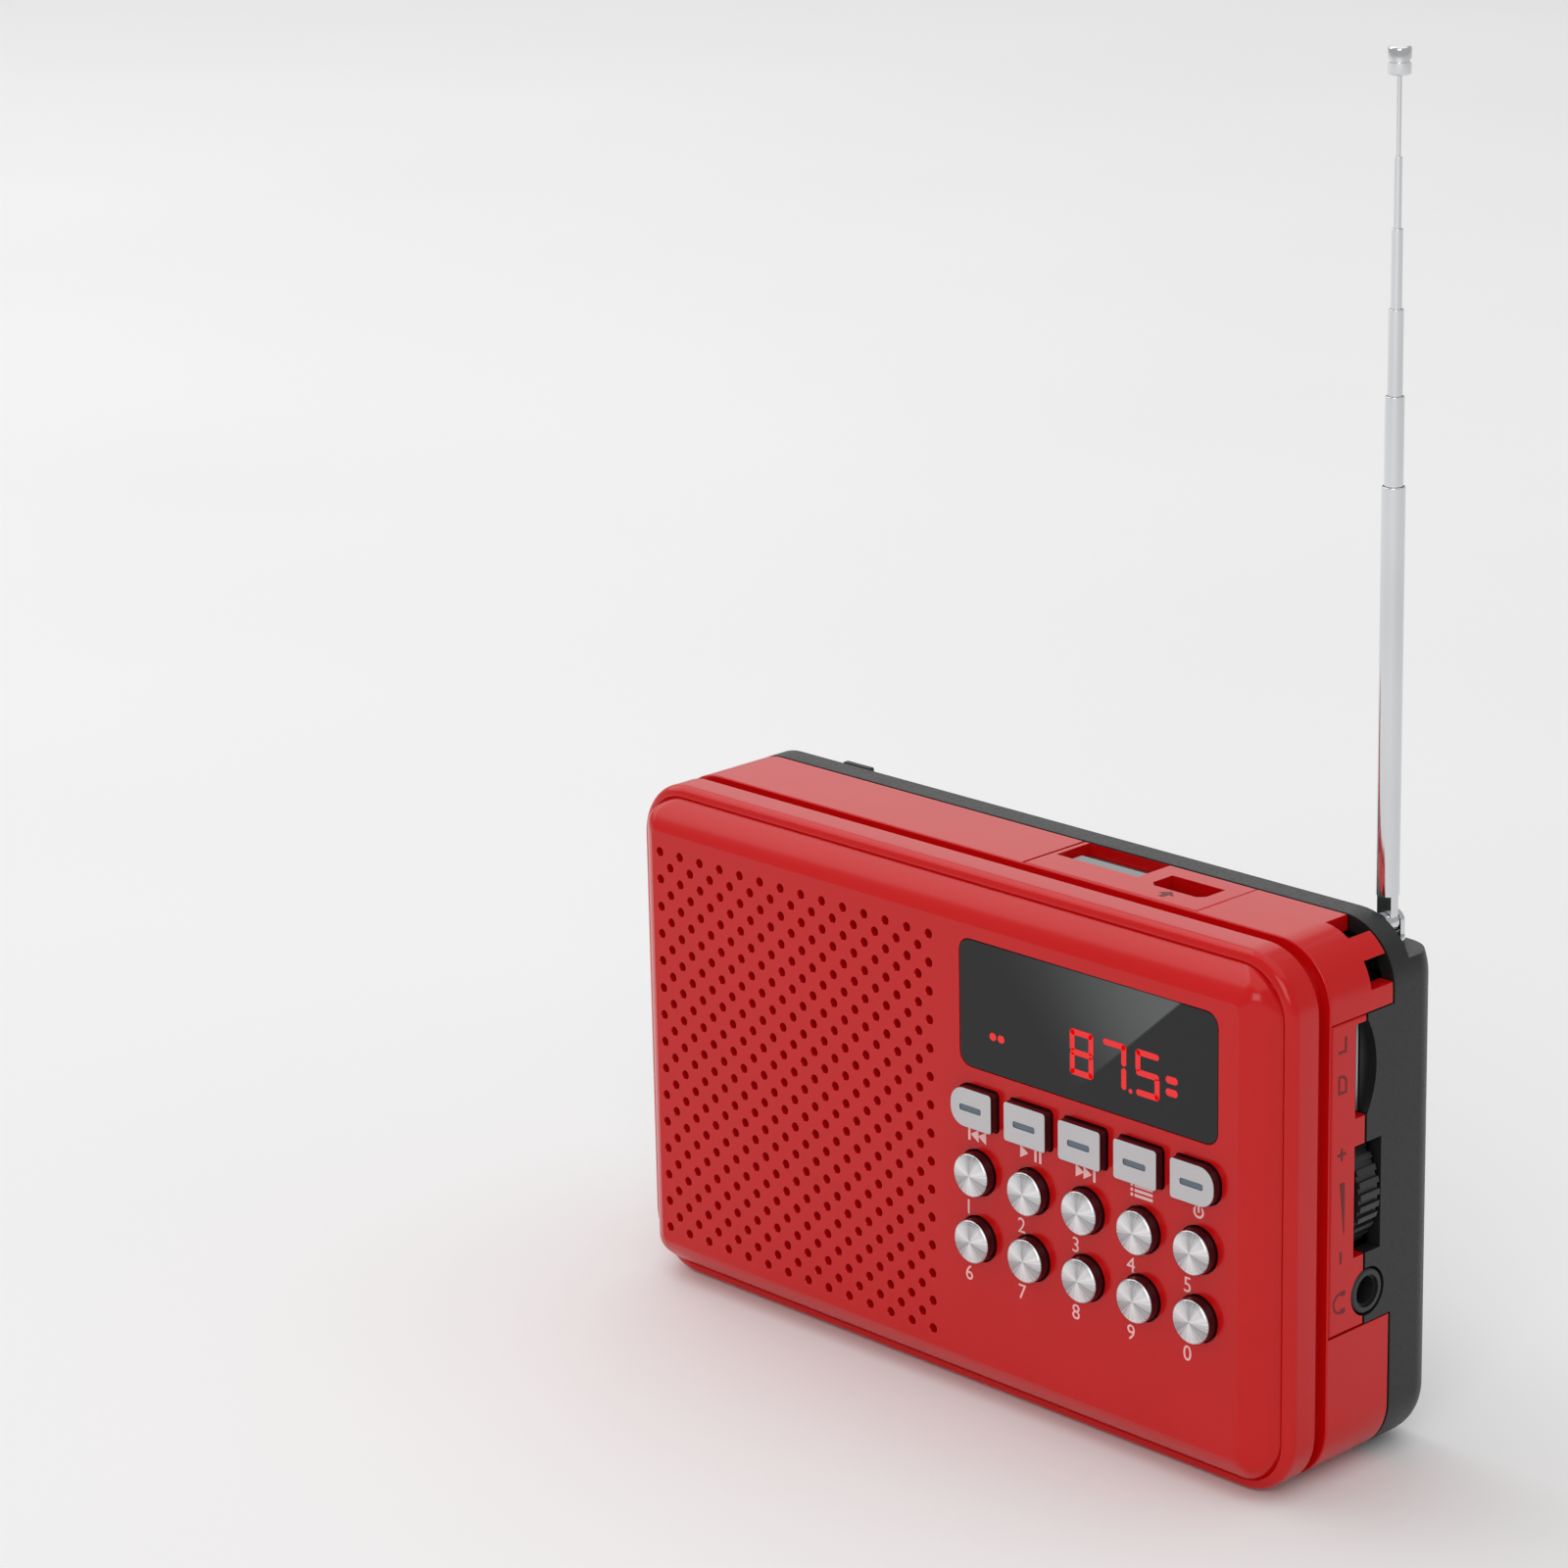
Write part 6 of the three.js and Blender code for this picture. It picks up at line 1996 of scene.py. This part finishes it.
@dataclass
class RearCover:
    """Black rear cover with its battery bay, antenna rebate, clip and screw holes.

    A screw post's and a screw hole's places in depth are counted from the face.
    """

    round_edge: float = 4.0
    front_edge: float = 0.15
    room_rear: float = 29.4
    rebate_front: float = 25.7
    rebate_floor: float = 65.0
    rebate_wall: float = 1.8
    door_right: float = 65.2
    door_z: Span = (12.0, 56.0)
    door_front: float = 25.7
    bay_x: Span = (3.4, 62.0)
    bay_z: Span = (16.0, 52.0)
    bay_floor: float = 22.7
    bay_rear: float = 28.1
    bay_wall: float = 1.2
    rib_rear: float = 27.8
    rib_inset: float = 16.0
    rib_low: float = 1.0
    sink: float = 0.9
    post_radius: float = 2.3
    post_y: Span = (20.5, 29.9)
    post_trim: float = 0.8
    shank_radius: float = 1.1
    seat_radius: float = 2.1
    seat_front: float = 29.6
    shank_front: float = 19.0
    screws: tuple[tuple[float, float], ...] = ((3.9, 59.2), (3.9, 8.8), (60.1, 61.3), (108.5, 7.5))
    clip_x: Span = (11.7, 16.7)
    clip_drop: float = 1.7
    clip_gap: float = 1.6
    clip_wall: float = 0.9
    clip_edge: float = 0.2
    scoop_reach: float = 1.7
    scoop_deep: float = 1.2
    antenna: tuple[float, float] = (107.7, 28.55)
    swivel_hole: float = 1.36
    swivel_low: float = 60.0

    def outer(self, name: str) -> bpy.types.Object:
        """Make the cover's outer solid with its rounded back.

        Args:
            name: The piece's name.

        Returns:
            The solid.
        """
        rear = SHELL.depth - self.round_edge
        edge = self.front_edge
        body = SHELL.plate(name, 0.0, (SHELL.cover_front + edge, rear))
        crown(body, (0, -1, 0), quarter(edge, edge, 2))
        return crown(body, (0, 1, 0), quarter(self.round_edge, self.round_edge, 10))

    def room(self) -> bpy.types.Object:
        """Make the tool for the hollow inside the cover, stepped round the rebate.

        Returns:
            The tool.
        """
        depth = (SHELL.cover_front - PAST, self.room_rear)
        room = SHELL.plate("cover_room", SHELL.wall, depth)
        return cut(room, self.rebate(self.rebate_wall))

    def rebate(self, wall: float = 0.0) -> bpy.types.Object:
        """Make the tool for the step that the folded antenna lies in.

        Args:
            wall: How much larger than the step it is.

        Returns:
            The tool.
        """
        return block(
            "rebate",
            (-PAST, SHELL.width + PAST),
            (self.rebate_front - wall, SHELL.depth + PAST),
            (self.rebate_floor - wall, SHELL.height + PAST),
        )

    def door_space(self, gap: float) -> bpy.types.Object:
        """Make the box that the battery door fills.

        Args:
            gap: How far it is drawn in.

        Returns:
            The box.
        """
        low, high = self.door_z
        return block(
            "door_space",
            (-PAST, self.door_right - gap),
            (self.door_front + gap, SHELL.depth + PAST),
            (low + gap, high - gap),
        )

    def build(self) -> bpy.types.Object:
        """Make the cover.

        Returns:
            The finished cover.
        """
        body = self.outer("cover")
        cut(body, self.room(), self.rebate(), self.door_space(0.0))
        add(body, *self._inside(), *self._outside())
        self._open(body)
        return fit(body, Fitting("casing", "black_plastic", BLACK_ABS, ("rear_cover",)))

    def _inside(self) -> list[bpy.types.Object]:
        """Make the battery bay, its ribs and the screw posts.

        Returns:
            The solids to join to the cover.
        """
        wall, rear = self.bay_wall, self.bay_rear
        (x0, x1), (z0, z1) = self.bay_x, self.bay_z
        bay = block("bay", (x0 - wall, x1 + wall), (self.bay_floor, rear), (z0 - wall, z1 + wall))
        inside = (self.bay_floor + wall, SHELL.depth + PAST)
        cut(bay, block("bay_room", (x0, x1), inside, (z0, z1)))
        deep = (self.bay_floor, self.rib_rear)
        below = (self.rib_low, z0 - wall / 2)
        above = (z1 + wall / 2, self.rebate_floor - self.sink)
        ribs = [
            block("rib", (left, left + wall), deep, span)
            for left in (x0 + self.rib_inset, x1 - self.rib_inset)
            for span in (below, above)
        ]
        low, high = self.post_y
        posts = [
            combine(
                rod("post", spot, self.post_radius, self.post_y, Axis.Y),
                "INTERSECT",
                SHELL.plate("inside", self.post_trim, (low - PAST, high + PAST)),
            )
            for spot in self.screws
        ]
        return [bay, *ribs, *posts]

    def _outside(self) -> list[bpy.types.Object]:
        """Make the forward step at the right side and the antenna clip.

        Returns:
            The solids to join to the cover.
        """
        side = SHELL.width
        step = block(
            "side_step",
            (side - SHELL.wall, side),
            (SHELL.step_front, SHELL.cover_front + PAST),
            (SHELL.panel_low, SHELL.panel_high),
        )
        back, gap, wall = self.antenna[1], self.clip_gap, self.clip_wall
        floor = self.rebate_floor
        edge = self.clip_edge
        jaws = []
        for near, far in ((back - gap - wall, back - gap), (back + gap, back + gap + wall)):
            top = SHELL.height - self.clip_drop
            jaw = block("clip_jaw", self.clip_x, (near, far), (floor - self.sink, top - edge))
            jaws.append(crown(jaw, (0, 0, 1), quarter(edge, edge, 3)))
        return [step, *jaws]

    def _open(self, body: bpy.types.Object) -> None:
        """Cut the ports, scoop, screw holes and antenna seat.

        Args:
            body: The cover.
        """
        side = SHELL.width
        cut(body, *PORTS.side_tools())
        half = (PORTS.card_z[1] - PORTS.card_z[0]) / 2
        reach = self.scoop_reach
        radius = (half**2 + reach**2) / (2 * reach)
        spot = (SHELL.step_front + reach - radius, sum(PORTS.card_z) / 2)
        cut(body, rod("scoop", spot, radius, (side - self.scoop_deep, side + PAST), Axis.X, 96))
        rear = SHELL.depth + PAST
        for screw in self.screws:
            cut(
                body,
                rod("shank_hole", screw, self.shank_radius, (self.shank_front, rear), Axis.Y, 24),
                rod("head_seat", screw, self.seat_radius, (self.seat_front, rear), Axis.Y, 32),
            )
        through = (self.swivel_low, SHELL.height + PAST)
        cut(body, rod("swivel_tool", self.antenna, self.swivel_hole, through, Axis.Z, 32))


@dataclass
class BatteryDoor:
    """Sliding door that is part of the cover's back and left side, with grip grooves."""

    cover: RearCover
    rail_x: Span = (29.2, 63.2)
    rail_y: Span = (28.1, 29.2)
    rail_in: float = 1.4
    rail_out: float = 1.2
    root_y: Span = (29.0, 29.6)
    root_out: float = 0.2
    grips: int = 4
    grip_left: float = 10.0
    grip_pitch: float = 2.2
    grip_long: float = 16.0
    grip_wide: float = 1.0
    grip_deep: float = 0.5
    grip_corner: float = 0.45

    def build(self) -> bpy.types.Object:
        """Make the door.

        Returns:
            The finished door.
        """
        body = self.cover.outer("door")
        cut(body, self.cover.room(), self.cover.rebate())
        combine(body, "INTERSECT", self.cover.door_space(SHELL.gap))
        low, high = self.cover.door_z
        for edge, side in ((high, 1), (low, -1)):
            inner = edge - side * self.rail_in
            rail = sorted((inner, edge + side * self.rail_out))
            root = sorted((inner, edge - side * self.root_out))
            add(body, block("rail", self.rail_x, self.rail_y, (rail[0], rail[1])))
            add(body, block("rail_root", self.rail_x, self.root_y, (root[0], root[1])))
        middle = (low + high) / 2
        half = self.grip_long / 2
        groove = slab(
            "grip",
            (self.grip_left, self.grip_left + self.grip_wide),
            (SHELL.depth - self.grip_deep, SHELL.depth + PAST),
            (middle - half, middle + half),
            self.grip_corner,
            5,
        )
        cut(body, array(groove, self.grips, (self.grip_pitch, 0, 0)))
        return fit(body, Fitting("battery_door", "black_plastic", BLACK_ABS, ("battery_door",)))


@dataclass
class CaseScrew:
    """Cross-slotted case screws with a domed head."""

    places: tuple[tuple[float, float], ...]
    head: float = 1.9
    head_y: Span = (29.8, 30.75)
    dome: tuple[float, float] = (0.6, 0.35)
    shank: float = 0.8
    shank_y: Span = (15.8, 29.9)
    slot_reach: float = 1.25
    slot_half: float = 0.3
    slot_y: Span = (30.4, 32.0)

    def build(self) -> list[bpy.types.Object]:
        """Make the screws.

        Returns:
            The finished screws.
        """
        first = rod("screw_blank", (0, 0), self.head, self.head_y, Axis.Y, 32)
        crown(first, (0, 1, 0), quarter(*self.dome, 4))
        add(first, rod("shank", (0, 0), self.shank, self.shank_y, Axis.Y, 16))
        long = (-self.slot_reach, self.slot_reach)
        thin = (-self.slot_half, self.slot_half)
        cut(first, block("slot", long, self.slot_y, thin), block("slot", thin, self.slot_y, long))
        made = []
        for index, (across, up) in enumerate(self.places):
            name = f"case_screw_{index + 1}"
            screw = copy_of(first, f"{name}_turned", (across, 0, up))
            made.append(fit(screw, Fitting("casing", "plated_steel", PLATED_STEEL, (name,))))
        discard(first)
        return made


# ------------------------------------------------------------------ antenna


@dataclass
class Antenna:
    """Chromed swivel, six telescoping sections and a knob."""

    spot: tuple[float, float] = (107.7, 28.55)
    pivot: float = 67.6
    radii: tuple[float, ...] = (1.45, 1.17, 0.92, 0.69, 0.48, 0.3)
    wall: float = 0.15
    rim: float = 0.12
    yoke: float = 2.2
    yoke_z: Span = (65.3, 65.85)
    yoke_edge: float = 0.15
    post: float = 1.3
    post_top: float = 65.6
    leg: Span = (0.8, 1.6)
    leg_half: float = 1.45
    leg_foot: float = 65.5
    pin: float = 0.6
    pin_hole: float = 0.65
    pin_half: float = 1.5
    pin_dome: tuple[float, float] = (0.2, 0.1)
    through: float = 3.0
    eye: float = 1.35
    eye_half: float = 0.7
    neck_half: float = 1.09
    neck_rise: float = 3.6
    neck_sink: float = 0.5
    plug: float = 1.2
    knob: float = 1.4
    knob_top: float = 0.4
    knob_foot: float = 0.25
    groove_half: float = 0.2
    groove_floor: float = 1.2
    groove_past: float = 2.0

    def build(self) -> list[bpy.types.Object]:
        """Make the whole antenna.

        Returns:
            The finished pieces.
        """
        pieces = [self._swivel(), self._pin(), self._base()]
        pieces += [self._inner(index) for index in range(1, len(self.radii))]
        pieces.append(self._knob())
        return pieces

    def _height(self, node: str) -> Span:
        """Give how far up a node starts and ends.

        Args:
            node: The CAD node's name.

        Returns:
            From and to in millimetres.
        """
        low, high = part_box(node)
        return ((low[2] - ORIGIN.z) / MM, (high[2] - ORIGIN.z) / MM)

    def _swivel(self) -> bpy.types.Object:
        """Make the yoke that turns in the rebate floor.

        Returns:
            The finished yoke.
        """
        x, y = self.spot
        base = rod("yoke", self.spot, self.yoke, self.yoke_z, Axis.Z, 48)
        crown(base, (0, 0, 1), quarter(self.yoke_edge, self.yoke_edge, 3))
        foot = self._height("antenna_swivel")[0]
        add(base, rod("post", self.spot, self.post, (foot, self.post_top), Axis.Z, 32))
        half = self.leg_half
        for side in (-1, 1):
            near, far = sorted(y + side * share for share in self.leg)
            add(base, block("leg", (x - half, x + half), (near, far), (self.leg_foot, self.pivot)))
            add(base, rod("ear", (x, self.pivot), half, (near, far), Axis.Y, 48))
        cut(base, self._pin_tool())
        return fit(base, Fitting("antenna_swivel", "chrome", CHROME, ("antenna_swivel",)))

    def _pin_tool(self) -> bpy.types.Object:
        """Make the tool for the pin's hole.

        Returns:
            The tool.
        """
        x, y = self.spot
        run = (y - self.through, y + self.through)
        return rod("pin_tool", (x, self.pivot), self.pin_hole, run, Axis.Y, 24)

    def _pin(self) -> bpy.types.Object:
        """Make the riveted pin through the yoke.

        Returns:
            The finished pin.
        """
        x, y = self.spot
        run = (y - self.pin_half, y + self.pin_half)
        pin = rod("rivet", (x, self.pivot), self.pin, run, Axis.Y, 24)
        for way in (-1, 1):
            crown(pin, (0, way, 0), quarter(*self.pin_dome, 3))
        return fit(pin, Fitting("antenna_swivel", "plated_steel", PLATED_STEEL, ("antenna_pin",)))

    def _tube(self, name: str, radius: float, span: Span, bore: Optional[Span]) -> bpy.types.Object:
        """Make one section with a rolled rim.

        Args:
            name: The piece's name.
            radius: Its outer radius.
            span: From and to in height.
            bore: From and to of its bore, if it has one.

        Returns:
            The tube.
        """
        tube = rod(name, self.spot, radius, (span[0], span[1] - self.rim), Axis.Z, 32)
        crown(tube, (0, 0, 1), quarter(self.rim, self.rim, 3))
        if bore:
            cut(tube, rod("bore", self.spot, radius - self.wall, bore, Axis.Z, 32))
        return tube

    def _base(self) -> bpy.types.Object:
        """Make the outer section with its flattened eye.

        Returns:
            The finished section.
        """
        x, y = self.spot
        top = self._height("antenna_section_1")[1]
        start = self.pivot + self.neck_rise
        tube = self._tube("mast", self.radii[0], (start, top), (start + self.plug, top + PAST))
        thick = (y - self.eye_half, y + self.eye_half)
        eye = rod("eye", (x, self.pivot), self.eye, thick, Axis.Y, 32)
        wide = (x - self.neck_half, x + self.neck_half)
        add(tube, eye, block("neck", wide, thick, (self.pivot, start + self.neck_sink)))
        cut(tube, self._pin_tool())
        return fit(tube, Fitting("antenna_mast", "chrome", CHROME, ("antenna_section_1",)))

    def _inner(self, index: int) -> bpy.types.Object:
        """Make an inner section.

        Args:
            index: Its number, counted from nought at the outer section.

        Returns:
            The finished section.
        """
        node = f"antenna_section_{index + 1}"
        low, high = self._height(node)
        last = index == len(self.radii) - 1
        bore = None if last else (low - PAST, high + PAST)
        radius = self.radii[index]
        tube = self._tube(f"tube_{index + 1}", radius, (low, high), bore)
        return fit(tube, Fitting(node, "chrome", CHROME, (node,)))

    def _knob(self) -> bpy.types.Object:
        """Make the knob on the end.

        Returns:
            The finished knob.
        """
        low, high = self._height("antenna_tip")
        foot, top = self.knob_foot, self.knob_top
        knob = rod("knob", self.spot, self.knob, (low + foot, high - top), Axis.Z, 32)
        crown(knob, (0, 0, 1), quarter(top, top, 4))
        crown(knob, (0, 0, -1), quarter(foot, foot, 3))
        middle, half = (low + high) / 2, self.groove_half
        groove = rod("groove", self.spot, self.groove_past, (middle - half, middle + half), Axis.Z)
        past = (middle - PAST, middle + PAST)
        cut(groove, rod("core", self.spot, self.groove_floor, past, Axis.Z))
        cut(knob, groove)
        return fit(knob, Fitting("antenna_section_6", "chrome", CHROME, ("antenna_tip",)))


# ------------------------------------------------------------------ inside


@dataclass
class CarriedNodes:
    """CAD nodes whose shape is kept and which only need their material."""

    def dress(self) -> int:
        """Give every kept node its slot's finish.

        Returns:
            How many were dressed.
        """
        slots = {part["node"]: part["material_slot"] for part in frame["record"]["subparts"]}
        dressed = 0
        for name, node in frame["nodes"].items():
            finish = SLOT_FINISHES[slots[name]]
            finish = GREY_NYLON if name == "usb_tongue" else finish
            node.data.materials.clear()
            node.data.materials.append(finish.material())
            dressed += 1
        return dressed


# ------------------------------------------------------------------ studio


@dataclass
class Studio:
    """Pale floor, soft lights and the camera.

    Each light has its name, its place, its target and the length of its sides in millimetres,
    and its power in watts. The floor's side is in metres.
    """

    eye: Triple = (453.3, -404.3, 255.2)
    turn: float = 46.19
    tilt: float = 15.53
    roll: float = -1.21
    lens: float = 108.7
    shift: float = -0.08
    sensor: float = 36.0
    clip: tuple[float, float] = (0.01, 50.0)
    ambient: float = 0.52
    air: str = "f8f8f8"
    floor: float = 12.0
    lights: tuple[tuple[str, Triple, Triple, float, float], ...] = (
        ("overhead", (57, 300, 2400), (57, 10, 40), 3200, 22.0),
        ("left", (-1050, -150, 1050), (57, 0, 40), 1300, 7.0),
        ("front", (900, -1150, 800), (57, 0, 40), 900, 6.5),
        ("back", (-1400, 1500, 1100), (57, 0, 40), 1400, 3.2),
    )

    def build(self) -> None:
        """Set up the studio."""
        self._floor()
        self._world()
        for light in self.lights:
            self._light(*light)
        self._camera()

    def _floor(self) -> None:
        """Lay the floor under the radio."""
        bpy.ops.object.select_all(action="DESELECT")
        bpy.ops.mesh.primitive_plane_add(size=self.floor, location=(0, 0, ORIGIN.z))
        floor = settle("floor")
        floor.data.materials.append(STUDIO_PAPER.material())

    def _world(self) -> None:
        """Fill the room with even pale light."""
        world = bpy.data.worlds.new("studio")
        world.use_nodes = True
        bpy.context.scene.world = world
        back = world.node_tree.nodes["Background"]
        back.inputs[0].default_value = linear(self.air)
        back.inputs[1].default_value = self.ambient
        bpy.context.scene.view_settings.view_transform = "Standard"

    def _light(self, name: str, at: Triple, to: Triple, size: float, power: float) -> None:
        """Hang a soft light.

        Args:
            name: The light's name.
            at: Its place in millimetres.
            to: Where it points.
            size: The length of its sides in millimetres.
            power: Its power in watts.
        """
        lamp = bpy.data.lights.new(name, "AREA")
        lamp.shape = "SQUARE"
        lamp.size = size * MM
        lamp.energy = power
        holder = bpy.data.objects.new(name, lamp)
        bpy.context.scene.collection.objects.link(holder)
        holder.location = place(*at)
        way = place(*to) - place(*at)
        holder.rotation_euler = way.to_track_quat("-Z", "Y").to_euler()

    def _camera(self) -> None:
        """Set up the camera."""
        data = bpy.data.cameras.new("camera")
        data.lens = self.lens
        data.sensor_width = self.sensor
        data.shift_y = self.shift
        data.clip_start, data.clip_end = self.clip
        camera = bpy.data.objects.new("camera", data)
        bpy.context.scene.collection.objects.link(camera)
        camera.location = place(*self.eye)
        turn, tilt = math.radians(self.turn), math.radians(self.tilt)
        way = Vector(
            (-math.sin(turn) * math.cos(tilt), math.cos(turn) * math.cos(tilt), -math.sin(tilt))
        )
        facing = way.to_track_quat("-Z", "Y") @ Quaternion((0, 0, 1), math.radians(self.roll))
        camera.rotation_euler = facing.to_euler()
        bpy.context.scene.camera = camera


def main() -> None:
    """Build the radio's looks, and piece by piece."""
    logging.basicConfig(level=logging.INFO, format="%(name)s %(message)s")
    LOG.info("kept nodes dressed: %d", CarriedNodes().dress())
    FrontBezel().build()
    DisplayWindow().build()
    Keypad().build()
    MidFrame().build()
    TopPortPanel().build()
    SidePortPanel().build()
    VolumeWheel().build()
    EarphoneJack().build()
    cover = RearCover()
    cover.build()
    BatteryDoor(cover).build()
    CaseScrew(cover.screws).build()
    Antenna().build()
    Studio().build()


if __name__ == "__main__":
    main()
